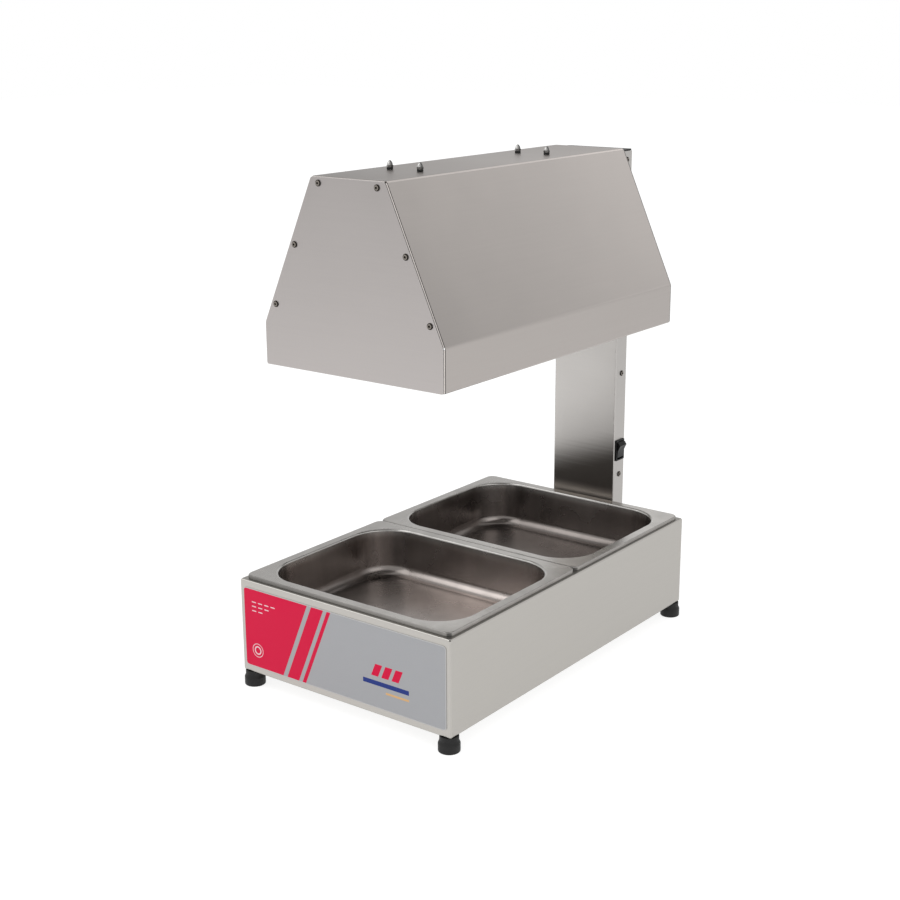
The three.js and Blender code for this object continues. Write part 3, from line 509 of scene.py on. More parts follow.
@dataclass(frozen=True)
class Finish:
    """What every finish holds, and how it becomes a material."""

    name: str
    screen: Screen
    roughness: float = 0.4

    @property
    def colour(self) -> Colour:
        """Its shader colour."""
        return from_screen(self.screen)

    def make(self) -> Material:
        """Build the material."""
        material = bpy.data.materials.new(self.name)
        material.use_nodes = True
        tree = Tree(material.node_tree)
        shader = material.node_tree.nodes["Principled BSDF"]
        place = tree.add("TexCoord").outputs["Object"]
        for name, value in self.surface(tree, place).items():
            tree.feed(shader.inputs[name], value)
        return material

    def surface(self, tree: Tree, place: Socket) -> dict[str, object]:
        """What the shader is fed with.

        Args:
            tree: The material's tree.
            place: The Object coordinates.

        Returns:
            A value or a socket for each of its inputs that doesn't keep its default, by name.
        """
        raise NotImplementedError

    def _smudged(self, tree: Tree, place: Socket, scale: float, share: float) -> Socket:
        """The roughness, raised by a share where the surface is smudged."""
        cloud = tree.effect(EFFECTS.smudge, vector=place, scale=scale)["Mask"]
        return tree.line(cloud, share, self.roughness)

    def _edge_wear_and_sheen(self, tree: Tree, colour: object, bright: Colour, radius: float, amount: float) -> Socket:
        """A colour that turns to a bright one at edges of a radius in millimetres: edge wear and a painted
        highlight.
        """
        edges = tree.effect(EFFECTS.wear, radius=radius * MM, amount=amount)["Mask"]
        return tree.blend(edges, colour, bright)


@dataclass(frozen=True)
class RolledSteel(Finish):
    """Stainless sheet with a fine rolled grain, bends brightened by wear and a painted highlight, and wiped
    clouds.

    Each face of a folded sheet carries painted light and shade by the way that it looks: front_tone,
    side_tone and top_tone are for faces that look forwards, sideways and up, ridge_tone for the bend
    between a slope and the top, and drift is a painted gradient of light, the change of tone over a metre,
    with top_drift and top_drift_across for faces that look up: from front to back of their forward half, and
    from left to right. bend_tone and lip_tone paint the bends towards the ends: a dark line of shade beside
    the face, and a pale highlight before it. level_tone is painted shade on the bends between the top and the
    ends. A fade is a painted dark reflection between two heights, which leans with the width and is paler at
    its foot.
    """

    grain: float = 0.04
    # bright is the pale colour of edge wear and of the painted highlight on the bends.
    bright: Colour = (0.8, 0.785, 0.76, 1.0)
    wear: float = 0.55
    front_tone: float = 1.0
    side_tone: float = 1.0
    top_tone: float = 1.0
    ridge_tone: float = 1.0
    drift: Triple = (0.0, 0.0, 0.0)
    drift_middle: Triple = (0.0, 0.0, 0.55)
    top_drift: float = 0.0
    top_drift_across: float = 0.0
    bend_tone: float = 1.0
    bend_span: Pair = (0.05, 0.55)
    lip_tone: float = 1.0
    level_tone: float = 1.0
    fade: Pair | None = None
    fade_lean: float = 0.33
    fade_colour: Colour = (0.1, 0.09, 0.081, 1.0)
    foot: Pair = (0.15, 0.172)
    foot_tone: float = 4.0

    def surface(self, tree: Tree, place: Socket) -> dict[str, object]:
        """What the shader is fed with."""
        lines = tree.effect(EFFECTS.grain, vector=place, strength=self.grain)
        cloud = tree.effect(EFFECTS.smudge, vector=place, scale=7.0)["Mask"]
        # The colour is toned by the grain, by wiped clouds, and by painted light and shade by the way each
        # face looks.
        colour = tree.toned(self.colour, lines["Tone"], tree.line(cloud, 0.04, 0.98), self._painted_facing_light(tree))
        # A painted gradient of light over the piece.
        if any(self.drift):
            colour = tree.toned(colour, self._painted_gradient(tree, place))
        # A painted dark reflection low on the front face.
        if self.fade:
            colour = self._painted_dark_reflection(tree, place, colour)
        # Edge wear, which also paints a highlight along the bends and edges.
        colour = self._edge_wear_and_sheen(tree, colour, self.bright, 0.9, self.wear)
        # Painted lines of shade and highlight along the bends to the ends.
        if self.bend_tone != 1.0:
            colour = tree.toned(colour, self._painted_bend_lines(tree))
        return {
            "Metallic": 1.0,
            "Specular Tint": (0.8, 0.8, 0.8, 1.0),
            "Base Color": colour,
            "Roughness": tree.line(cloud, 0.07, self.roughness - 0.03),
            "Normal": tree.bump(lines["Height"], 0.02, 0.25),
        }

    def _painted_facing_light(self, tree: Tree) -> Socket:
        """The painted light and shade of the face, by the way that it looks."""
        facing = tree.facing()
        return tree.times(
            tree.spread(facing["Y"], -0.98, -0.85, self.front_tone, 1.0),
            tree.spread(tree.math("ABSOLUTE", facing["X"]), 0.94, 0.99, 1.0, self.side_tone),
            tree.spread(facing["Z"], 0.93, 0.99, 1.0, self.top_tone),
            tree.tint(tree.math("COMPARE", facing["Z"], 0.75, 0.19), self.ridge_tone),
        )

    def _painted_gradient(self, tree: Tree, place: Socket) -> Socket:
        """A painted gradient of light that changes evenly over the piece. A sloping skin drifts on its slopes
        and top alone.
        """
        away = tree.vector("SUBTRACT", place, self.drift_middle)
        share = tree.vector("DOT_PRODUCT", away, self.drift)
        upwards = tree.facing()["Z"]
        if self.drift[1]:
            share = tree.times(share, tree.spread(upwards, 0.15, 0.35))
        if self.top_drift:
            parts = tree.parts(away)
            fall = tree.times(tree.math("MINIMUM", parts["Y"], 0.0), self.top_drift)
            fall = tree.line(parts["X"], self.top_drift_across, fall)
            rise = tree.times(tree.math("MAXIMUM", parts["Y"], 0.0), self.drift[1])
            share = tree.line(tree.math("SUBTRACT", fall, rise), tree.spread(upwards, 0.9, 0.99), share)
        return tree.math("ADD", share, 1.0)

    def _painted_bend_lines(self, tree: Tree) -> Socket:
        """A painted dark line of shade beside the slopes and skirts where they bend to the ends, and a
        painted pale highlight before it.
        """
        facing = tree.facing()
        turn = tree.math("ABSOLUTE", facing["Y"])
        sideways = tree.math("GREATER_THAN", tree.math("ABSOLUTE", facing["X"]), 0.15)
        low, high = self.bend_span
        beside = tree.times(tree.math("COMPARE", turn, (low + high) / 2, (high - low) / 2), sideways)
        before = tree.times(tree.math("COMPARE", turn, 0.77, 0.2), sideways)
        level = tree.math("SUBTRACT", tree.math("COMPARE", turn, 0.58, 0.39), sideways)
        return tree.times(
            tree.tint(beside, self.bend_tone),
            tree.tint(before, self.lip_tone),
            tree.tint(tree.math("MAXIMUM", level, 0.0), self.level_tone),
        )

    def _painted_dark_reflection(self, tree: Tree, place: Socket, colour: object) -> Socket:
        """A painted dark reflection low on the front face that grows downwards in fine level lines, paler at
        its foot.
        """
        parts = tree.parts(place)
        front = tree.math("LESS_THAN", tree.facing()["Y"], -0.8)
        lines = tree.noise(tree.vector("MULTIPLY", place, (6.0, 1.0, 300.0)), 1.0, 2)
        height = tree.line(tree.math("SUBTRACT", lines, 0.5), 0.012, parts["Z"])
        height = tree.line(parts["X"], -self.fade_lean, height)
        mask = tree.times(front, tree.spread(height, *self.fade, 1.0, 0.0))
        cloud = tree.toned(self.fade_colour, tree.spread(parts["Z"], *self.foot, self.foot_tone, 1.0))
        return tree.blend(mask, colour, cloud)


@dataclass(frozen=True)
class DrawnSteel(Finish):
    """Polished pan steel with painted shade below its rim, and soft draw marks down its walls.

    inside_shade is the tone of the painted shade below the rim, reflected_warmth the colour of a painted warm
    reflection there, bead_tone the painted tone where the rim turns down, front_edge and side_edge the
    painted light and shade of the turned-down edge, corner_tone a painted dark reflection on its rounded
    corners, and drift a painted gradient of light from left to right over a metre. front_lift is painted
    light on the front pan below its rim, over the stretch lift_from of its width.
    """

    rim: float = 0.153
    inside_shade: float = 1.0
    reflected_warmth: Colour = WHITE
    bead_tone: float = 1.0
    front_edge: float = 1.0
    side_edge: float = 1.0
    edge_roughness: float = 0.55
    corner_tone: float = 1.0
    drift: float = 0.0
    front_lift: float = 1.0
    lift_from: Pair = (-0.14, 0.06)

    def surface(self, tree: Tree, place: Socket) -> dict[str, object]:
        """What the shader is fed with."""
        parts = tree.parts(place)
        # Painted shade below the rim: the colour darkens to inside_shade there.
        inside = tree.spread(parts["Z"], self.rim - 14 * MM, self.rim - 2 * MM, self.inside_shade, 1.0)
        marks = tree.noise(tree.vector("MULTIPLY", place, (46.0, 46.0, 2.5)), 1.0, 2)
        # A painted warm reflection tints the shaded inside.
        warm = tuple(hue * part for hue, part in zip(self.colour, self.reflected_warmth))
        colour = tree.toned(tree.blend(tree.spread(inside, self.inside_shade, 1.0), warm, self.colour), inside)
        rough = self._smudged(tree, place, 11.0, 0.1)
        # Painted light and shade on the turned-down edge, by the way that it looks.
        if self.corner_tone != 1.0:
            upwards = tree.math("ABSOLUTE", tree.facing()["Z"])
            rough = tree.math("MAXIMUM", rough, tree.spread(upwards, 0.5, 0.9, self.edge_roughness, 0.0))
            colour = tree.toned(colour, self._edge(tree))
        # Painted light on the front pan below its rim.
        if self.front_lift != 1.0:
            depth = tree.spread(inside, self.inside_shade, 1.0, 1.0, 0.0)
            ahead = tree.math("LESS_THAN", parts["Y"], 0.0)
            lifted = tree.times(depth, ahead, tree.spread(parts["X"], *self.lift_from, 0.1, 1.0))
            colour = tree.toned(colour, tree.tint(lifted, self.front_lift))
        # A painted gradient of light from left to right.
        if self.drift:
            colour = tree.toned(colour, tree.line(parts["X"], self.drift, 1.03))
        colour = tree.toned(colour, tree.line(marks, 0.36, 0.82))
        return {
            "Metallic": 1.0,
            "Base Color": self._edge_wear_and_sheen(tree, colour, (0.72, 0.71, 0.7, 1.0), 0.7, 0.2),
            "Roughness": rough,
            "Normal": tree.bump(marks, 0.15, 0.2),
        }

    def _edge(self, tree: Tree) -> Socket:
        """The painted light and shade of the turned-down edge, by the way that it looks."""
        facing = tree.facing()
        across, along = (tree.math("ABSOLUTE", facing[axis]) for axis in "XY")
        return tree.times(
            tree.spread(facing["Z"], 0.8, 0.99, self.bead_tone, 1.0),
            tree.spread(tree.times(across, along), 0.3, 0.47, 1.0, self.corner_tone),
            tree.spread(along, 0.7, 0.95, 1.0, self.front_edge),
            tree.spread(across, 0.7, 0.95, 1.0, self.side_edge),
        )


@dataclass(frozen=True)
class BareMetal(Finish):
    """Small turned or pressed metal parts, with painted shade of the tone shade on the side that looks along
    shade_side.
    """

    mottle: float = 0.25
    wear: float = 0.5
    shade: float = 1.0
    shade_side: Triple = (0.79, 0.61, 0.0)

    def surface(self, tree: Tree, place: Socket) -> dict[str, object]:
        """What the shader is fed with."""
        fine = tree.noise(place, 1400.0, 4)
        colour = tree.toned(self.colour, tree.line(tree.math("SUBTRACT", fine, 0.5), self.mottle, 1.0))
        # Painted shade on the side that looks along shade_side.
        if self.shade != 1.0:
            side = tree.vector("DOT_PRODUCT", tree.normal(), self.shade_side)
            colour = tree.toned(colour, tree.spread(side, -0.1, 0.3, 1.0, self.shade))
        return {
            "Metallic": 1.0,
            "Base Color": self._edge_wear_and_sheen(tree, colour, (0.7, 0.69, 0.67, 1.0), 0.35, self.wear),
            "Roughness": self._smudged(tree, place, 160.0, 0.15),
            "Normal": tree.bump(fine, 0.03, 0.3),
        }


@dataclass(frozen=True)
class Moulded(Finish):
    """Moulded rubber, plastic or ceramic with a fine mould grain and paler rubbed edges."""

    rubbed: Colour = (0.035, 0.035, 0.035, 1.0)
    specular: float = 0.5
    texture: float = 900.0

    def surface(self, tree: Tree, place: Socket) -> dict[str, object]:
        """What the shader is fed with."""
        pebble = tree.noise(place, self.texture, 3)
        colour = tree.toned(self.colour, tree.line(pebble, 0.3, 0.85))
        return {
            "Specular IOR Level": self.specular,
            "Base Color": self._edge_wear_and_sheen(tree, colour, self.rubbed, 0.4, 0.6),
            "Roughness": self._smudged(tree, place, 60.0, 0.12),
            "Normal": tree.bump(pebble, 0.04, 0.5),
        }


@dataclass(frozen=True)
class BraidedSleeve(Finish):
    """Heat-proof braided sleeving."""

    def surface(self, tree: Tree, place: Socket) -> dict[str, object]:
        """What the shader is fed with."""
        inputs = {"Vector": place, "Scale": 260.0, "Distortion": 1.5}
        strand = tree.add("TexWave", inputs, wave_type="BANDS", bands_direction="DIAGONAL").outputs["Fac"]
        dirt = tree.effect(EFFECTS.smudge, vector=place, scale=40.0)["Mask"]
        return {
            "Base Color": tree.toned(self.colour, tree.line(strand, 0.3, 0.75), tree.line(dirt, -0.15, 1.0)),
            "Roughness": tree.line(strand, 0.1, self.roughness),
            "Normal": tree.bump(strand, 0.25, 0.6),
        }


@dataclass(frozen=True)
class PrintedFilm(Finish):
    """The front panel's printed film: a grey field, a crimson block with slanted bands, and plain motifs."""

    centre: Pair = (0.0, 0.084)
    half: Pair = (0.164, 0.054)
    corner: float = 5 * MM
    border: float = 1.0 * MM
    slant: float = 0.42
    crimson: Screen = (222, 6, 66)
    pale: Screen = (197, 197, 197)
    blush: Screen = (244, 214, 220)
    navy: Screen = (38, 58, 132)
    amber: Screen = (226, 182, 128)

    def surface(self, tree: Tree, place: Socket) -> dict[str, object]:
        """What the shader is fed with."""
        parts = tree.parts(place)
        u = tree.math("SUBTRACT", parts["X"], self.centre[0])
        v = tree.math("SUBTRACT", parts["Z"], self.centre[1])
        colour: object = self.colour
        for ink, mask in self._motifs(tree, u, v):
            colour = tree.blend(mask, colour, from_screen(ink))
        colour = tree.blend(self._field(tree, u, v), from_screen(self.pale), colour)
        fleck = tree.noise(place, 2200.0, 2)
        return {
            "Specular IOR Level": 0.2,
            "Base Color": tree.toned(colour, tree.line(fleck, 0.05, 0.975)),
            "Roughness": self._smudged(tree, place, 12.0, 0.1),
            "Normal": tree.bump(fleck, 0.01, 0.4),
        }

    def _reach(self, tree: Tree, *sides: object) -> Socket:
        """The distance that two sides at a right angle span."""
        return tree.math("SQRT", tree.math("ADD", *(tree.math("POWER", side, 2.0) for side in sides)))

    def _field(self, tree: Tree, u: object, v: object) -> Socket:
        """A mask of all that lies inside the film's pale border."""
        sides = []
        for value, half in zip((u, v), self.half):
            past = tree.math("SUBTRACT", tree.math("ABSOLUTE", value), half - self.corner)
            sides.append(tree.math("MAXIMUM", past, 0.0))
        return tree.math("LESS_THAN", self._reach(tree, *sides), self.corner - self.border)

    def _box(self, tree: Tree, u: object, v: object, *box: float) -> Socket:
        """A mask of a box given by its centre and its half sizes, in millimetres."""
        across, up, half_width, half_height = (value * MM for value in box)
        return tree.times(
            tree.math("COMPARE", u, across, half_width), tree.math("COMPARE", v, up, half_height)
        )

    def _ring(self, tree: Tree, u: object, v: object, *ring: float) -> Socket:
        """A mask of a ring given by its centre, radius and half line width, in millimetres."""
        across, up, radius, half_line = (value * MM for value in ring)
        reach = self._reach(tree, tree.math("SUBTRACT", u, across), tree.math("SUBTRACT", v, up))
        return tree.math("COMPARE", reach, radius, half_line)

    def _motifs(self, tree: Tree, u: object, v: object) -> Iterator[tuple[Screen, Socket]]:
        """The inks and masks of the print, in the order in which they are laid down."""
        lean = tree.line(v, -self.slant, u)
        for band, half in ((-170.0, 94.0), (-59.0, 10.0), (-40.0, 3.0)):
            yield self.crimson, tree.math("COMPARE", lean, band * MM, half * MM)
        for radius, half_line in ((9.0, 0.45), (5.0, 0.9)):
            yield self.blush, self._ring(tree, u, v, -142.0, -30.0, radius, half_line)
        for row, dashes in enumerate((4, 3, 2)):
            for dash in range(dashes):
                yield self.blush, self._box(tree, u, v, -146.0 + 11.0 * dash, 36.0 - 6.0 * row, 3.6, 0.7)
        for chip in (58.0, 74.0, 90.0):
            yield self.crimson, self._box(tree, lean, v, chip + 4.0 * self.slant, -4.0, 5.5, 8.0)
        yield self.navy, self._box(tree, u, v, 72.0, -21.0, 36.0, 3.0)
        yield self.amber, self._box(tree, u, v, 90.0, -31.0, 18.0, 1.4)


class Palette:
    """Every finish of the warmer, made once."""

    def __init__(self) -> None:
        """Build the materials."""
        # On these sheets the tones by facing are painted light and shade, drift and top_drift are painted
        # gradients, bend_tone, lip_tone and level_tone are painted lines along the bends, and fade is a
        # painted dark reflection.
        self.sheet = RolledSteel(
            "Rolled steel", (184, 181, 176), front_tone=1.05, top_tone=0.85, ridge_tone=1.3
        ).make()
        self.skin = RolledSteel(
            "Hood skin steel", (190, 184, 180), wear=0.35, side_tone=0.84, top_tone=0.845, ridge_tone=1.5,
            drift=(0.0, 0.5, 1.1), top_drift=0.75, top_drift_across=1.2, bend_tone=0.15, lip_tone=1.5,
            level_tone=0.7,
        ).make()
        self.plate = RolledSteel(
            "Hood plate steel", (174, 169, 167), drift=(0.0, 0.0, -0.8), bend_tone=0.4, bend_span=(-0.1, 0.6)
        ).make()
        self.column = RolledSteel(
            "Column steel", (186, 183, 180), front_tone=1.14, side_tone=0.93, fade=(0.1905, 0.2475)
        ).make()
        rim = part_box("pan_front")[1].z
        # The pan's inside_shade, reflected_warmth and front_lift and the rim's bead, edge and corner tones
        # and drift are painted light and shade.
        self.pan = DrawnSteel(
            "Drawn pan steel", (184, 182, 179), 0.22, rim, inside_shade=0.5, reflected_warmth=(1.0, 0.92, 0.9, 1.0),
            front_lift=1.9,
        ).make()
        self.rim = DrawnSteel(
            "Pan rim steel", (184, 181, 177), 0.24, rim, bead_tone=0.62, front_edge=0.95, side_edge=1.1,
            corner_tone=0.4, drift=1.2,
        ).make()
        self.rivet = BareMetal("Rivet steel", (134, 128, 121), 0.46, wear=0.1).make()
        # A dark copy of the rivet steel: painted shade in the rivet's bore and round the edge of its head.
        self.socket = BareMetal("Rivet socket", (52, 48, 45), 0.5, wear=0.0).make()
        # One steel in two copies: a darker, shaded one for the cap nut's collar and a lighter one with a
        # painted highlight for its dome, both with painted shade on one side.
        self.nut = BareMetal("Cap nut steel", (128, 126, 124), 0.16, mottle=0.1, wear=0.2, shade=0.35).make()
        self.dome = BareMetal(
            "Cap nut dome steel", (190, 189, 187), 0.12, mottle=0.1, wear=0.2, shade=0.25
        ).make()
        self.seal = Moulded("Seal rubber", (12, 12, 12), 0.7, rubbed=(0.01, 0.01, 0.01, 1.0)).make()
        self.bright = BareMetal("Bright steel", (200, 198, 195), 0.2, mottle=0.1).make()
        self.reflector = RolledSteel("Reflector steel", (206, 205, 203), 0.24, wear=0.2).make()
        self.sheath = BareMetal("Element sheath", (84, 76, 70), 0.5, mottle=0.5, wear=0.15).make()
        self.rubber = Moulded("Foot rubber", (24, 24, 24), specular=0.35, roughness=0.5).make()
        self.plastic = Moulded("Black plastic", (12, 12, 12), 0.3, specular=0.2, texture=1500.0).make()
        self.ceramic = Moulded("Ceramic", (226, 220, 206), 0.45, rubbed=(0.8, 0.77, 0.7, 1.0)).make()
        self.sleeve = BraidedSleeve("Braided sleeve", (214, 208, 192), 0.8).make()
        low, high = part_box("front_overlay")
        centre, half = (low + high) / 2, (high - low) / 2
        self.film = PrintedFilm(
            "Printed film", (175, 176, 179), centre=(centre.x, centre.z), half=(half.x, half.z)
        ).make()


# Dressing: the ways in which pieces stand for CAD nodes


def fit(piece: Piece, node: str, slot: str, *finishes: Material, body: Body = Body.CABINET) -> None:
    """Dress a piece, stand it in for a CAD node and set it on its body.

    Args:
        piece: The finished mesh.
        node: The CAD node that it stands for.
        slot: The record's material slot; not used.
        finishes: Its materials, in the order of its faces' material numbers.
        body: The body that it moves with.
    """
    numbers = [face.material_index for face in piece.data.polygons]
    piece.data.materials.clear()
    for finish in finishes:
        piece.data.materials.append(finish)
    if len(finishes) > 1:
        piece.data.polygons.foreach_set("material_index", numbers)
    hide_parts(node)
    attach(piece, body.value)
    log.info("%s stands for %s on %s", piece.name, node, body.value)


@dataclass(frozen=True)
class Repeat:
    """A kind of piece of which there are several: its names' start, its slot and finishes, and its maker."""

    node: str
    name: str
    slot: str
    finishes: tuple[Material, ...]
    make: Callable[..., Piece]


def repeated(marks: str, *kinds: Repeat) -> None:
    """Go from place to place: make the first piece of each kind, copy it for the others and dress them all.

    Args:
        marks: What the names at each place end with, parted by spaces.
        kinds: The kinds of piece at every place.
    """
    firsts: dict[str, tuple[Piece, Vector]] = {}
    for mark in marks.split():
        for kind in kinds:
            place = seat(f"{kind.node}_{mark}")
            if kind.name in firsts:
                first, start = firsts[kind.name]
                piece = copied(first, f"{kind.name}_{mark}", place - start)
            else:
                piece = kind.make(f"{kind.name}_{mark}", place)
                firsts[kind.name] = piece, place
            fit(piece, f"{kind.node}_{mark}", kind.slot, *kind.finishes)


# The warmer's sub-assemblies


@dataclass
class BaseCabinet:
    """The folded base, its floor plate, its printed film and its four feet."""

    palette: Palette
    film_corner: float = 5 * MM
    corners: str = "front_left front_right rear_left rear_right"
    foot_profile: Profile = (
        (2.8, 20.7), (11.3, 20.7), (11.8, 20.5), (12.0, 20.0), (12.0, 14.9), (12.15, 14.5),
        (13.35, 11.6), (13.62, 11.1), (13.7, 10.6), (13.7, 1.3), (13.5, 0.6), (13.0, 0.15),
        (12.4, 0.0), (6.5, 0.0), (6.1, 0.15), (6.0, 0.5), (6.0, 9.0), (2.8, 9.0),
    )

    def build(self) -> None:
        """Make and dress every piece of the base."""
        palette = self.palette
        for node, name in (("base_shell", "base_cabinet_shell"), ("base_floor", "base_floor_plate")):
            fit(folded(node, name), node, "steel", palette.sheet)
        self._film()
        foot = partial(turned, profile=self.foot_profile, sides=56, ring=True, smooth=35)
        repeated(
            self.corners,
            Repeat("foot", "rubber_foot", "rubber", (palette.rubber,), foot),
            Repeat("foot_bolt", "foot_screw", "bright_steel", (palette.bright,), self._bolt),
        )

    def _film(self) -> None:
        """The printed film, a thin plate with round corners and a softened edge, flat on the base."""
        low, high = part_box("front_overlay")
        high.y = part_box("base_shell")[0].y - 0.01 * MM
        film = block("printed_front_film", low, high)
        with shaping(film):
            round_off(film, lambda edge: runs(edge, 1), self.film_corner, 10)
        rounded(film, 0.12 * MM, 2)
        smoothed(film)
        fit(film, "front_overlay", "overlay", self.palette.film)

    def _bolt(self, name: str, place: Vector) -> Piece:
        """A pan-head bolt with a cross recess and a six-sided nut."""
        low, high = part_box("foot_bolt_front_left")
        top = (high.z - low.z) / MM
        shank = ((3.7, 0.0), (4.3, 0.25), (4.6, 0.8), (4.6, 3.0), (2.5, 3.0), (2.5, top - 0.5), (2.1, top))
        bolt = turned(name, place, shank, sides=28)
        for reach in ((2.4, 0.5, 1.2), (0.5, 2.4, 1.2)):
            half = Vector(reach) * MM
            combined(bolt, block("recess", place - half, place + half))
        nut = ((4.25, top - 7.0), (4.6, top - 6.75), (4.6, top - 3.25), (4.25, top - 3.0))
        combined(bolt, turned("nut", place, nut, sides=6), "UNION")
        smoothed(bolt, 35)
        return bolt


@dataclass
class DrawnPan:
    """A drawn pan with a beaded rim, made as one skin and then thickened."""

    palette: Palette
    rim_corner: float = 9 * MM
    rim_bead: float = 1.6 * MM
    rim_drop: float = 5 * MM
    rim_width: float = 13.5 * MM
    mouth_corner: float = 55 * MM
    mouth_lip: float = 3 * MM
    draft: float = 4.5 * MM
    fillet: float = 14 * MM
    gauge: float = 0.8 * MM
    corner_steps: int = 16

    def build(self) -> None:
        """Make the front pan, copy it to the rear, and dress both."""
        front = self._skin()
        self._part_rim(front)
        rear = copied(front, "drawn_pan_rear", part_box("pan_rear")[0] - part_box("pan_front")[0])
        for pan, node, body in ((front, "pan_front", Body.FRONT_PAN), (rear, "pan_rear", Body.REAR_PAN)):
            fit(pan, node, "pan_steel", self.palette.pan, self.palette.rim, body=body)

    def _part_rim(self, pan: Piece) -> None:
        """Number the faces of the rim's flat and turned-down edge apart from those of the walls."""
        low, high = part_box("pan_front")
        centre, half = (low + high) / 2, (high - low) / 2
        lip = 0.7 * self.mouth_lip
        corner = self.mouth_corner + lip
        for face in pan.data.polygons:
            away = face.center - centre
            past_x, past_y = (abs(away[axis]) - (half[axis] - self.rim_width + lip) for axis in (0, 1))
            if min(past_x, past_y) > -corner:
                outside = Vector((past_x + corner, past_y + corner)).length > corner
            else:
                outside = max(past_x, past_y) > 0
            face.material_index = int(outside)

    def _outline(self, inwards: float, corner: float) -> Piece:
        """A flat round-cornered loop at the rim's height, a distance in from the rim."""
        low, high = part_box("pan_front")
        clear_bench()
        bpy.ops.mesh.primitive_plane_add(size=1, location=seat("pan_front", end=1))
        bpy.context.object.scale = (high.x - low.x - 2 * inwards, high.y - low.y - 2 * inwards, 1)
        loop = started("outline")
        with shaping(loop):
            bpy.ops.mesh.bevel(offset=corner, segments=self.corner_steps, affect="VERTICES")
            bpy.ops.mesh.select_all(action="SELECT")
            bpy.ops.mesh.delete(type="ONLY_FACE")
        return loop

    def _skin(self) -> Piece:
        """The pan's skin, from its turned-down rim to its floor."""
        low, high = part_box("pan_front")
        centre = seat("pan_front", end=1)
        top, floor = high.z, low.z + self.gauge
        in_x, in_y = (high.x - low.x) / 2 - self.rim_width, (high.y - low.y) / 2 - self.rim_width
        outer = self._outline(0, self.rim_corner)
        mouth = self._outline(self.rim_width, self.mouth_corner)
        take(outer)
        mouth.select_set(True)
        bpy.ops.object.join()
        pan = bpy.context.object
        pan.name = "drawn_pan_front"

        def rim_ends(edge: Edge) -> int:
            """How many of an edge's ends lie on the rim's outline."""
            aways = [end.co - centre for end in edge.verts]
            return sum(max(abs(away.x) - in_x, abs(away.y) - in_y) > 1 * MM for away in aways)

        def level(edge: Edge) -> bool:
            """Whether an edge lies at the height of the rim's flat."""
            return near(middle(edge).z, top)

        with shaping(pan, "EDGE"):
            bpy.ops.mesh.bridge_edge_loops()
            pick(pan, "EDGE", lambda edge: edge.is_boundary and rim_ends(edge) == 2)
            pull(z=-self.rim_drop, loose=True)
            pick(pan, "EDGE", lambda edge: edge.is_boundary and level(edge))
            pull(z=floor - top, loose=True)
            drawn = ((in_x - self.draft) / in_x, (in_y - self.draft) / in_y, 1)
            bpy.ops.transform.resize(value=drawn, center_override=centre)
            bpy.ops.mesh.edge_face_add()
            for test, width, steps in (
                (lambda edge: level(edge) and rim_ends(edge) == 2, self.rim_bead, 6),
                (lambda edge: level(edge) and not rim_ends(edge) and self._folds(edge), self.mouth_lip, 5),
                (lambda edge: near(middle(edge).z, floor), self.fillet, 7),
            ):
                round_off(pan, test, width, steps, clamp=True)
            close_up()
        if sum(face.normal.z * face.area for face in pan.data.polygons) < 0:
            with shaping(pan, "FACE"):
                bpy.ops.mesh.flip_normals()
        modify(pan, "SOLIDIFY", thickness=self.gauge, offset=-1, use_even_offset=True)
        smoothed(pan, 45)
        return pan

    def _folds(self, edge: Edge) -> bool:
        """Whether an edge joins the rim's flat and the wall."""
        levels = sorted(abs(face.normal.z) for face in edge.link_faces)
        return len(levels) == 2 and levels[0] < 0.5 < levels[1]


@dataclass
class BlindRivets:
    """Blind rivets: one is turned, and each is a copy turned to its face."""

    palette: Palette
    profile: Profile = (
        (0.05, 0.55), (0.8, 0.5), (1.0, 0.1), (1.25, 0.1), (1.35, 1.3), (1.5, 1.5), (2.2, 1.48),
        (3.0, 1.22), (3.6, 0.85), (3.95, 0.45), (4.0, 0.0), (2.0, 0.0), (2.0, -3.3), (3.0, -3.3),
        (2.6, -5.4), (0.8, -7.2), (0.05, -7.3),
    )
    head_height: float = 1.5 * MM
    socket_radius: float = 1.45 * MM
    edge_radius: float = 3.2 * MM

    def build(self) -> None:
        """Make and dress every rivet."""
        pattern = turned("rivet_pattern", NO_SHIFT, self.profile)
        # Faces in the bore and round the head's edge take the dark socket copy of the steel, painted shade.
        for face in pattern.data.polygons:
            reach = Vector(face.center[:2]).length
            shaded = face.center.z > 0 and (reach < self.socket_radius or reach > self.edge_radius)
            face.material_index = int(shaded)
        smoothed(pattern, 32)
        for row, count, way in (
            ("hood_front_rivet", 6, Way.FRONT),
            ("hood_rear_rivet", 4, Way.REAR),
            ("column_rivet_left", 4, Way.LEFT),
            ("column_rivet_right", 4, Way.RIGHT),
        ):
            for node in (f"{row}_{number + 1}" for number in range(count)):
                place = seat(node, way, end=1) - way.out * self.head_height
                rivet = copied(pattern, f"blind_{node}", NO_SHIFT)
                rivet.data.transform(Matrix.Translation(place) @ way.value)
                fit(rivet, node, "rivet_steel", self.palette.rivet, self.palette.socket)
        bpy.data.objects.remove(pattern)


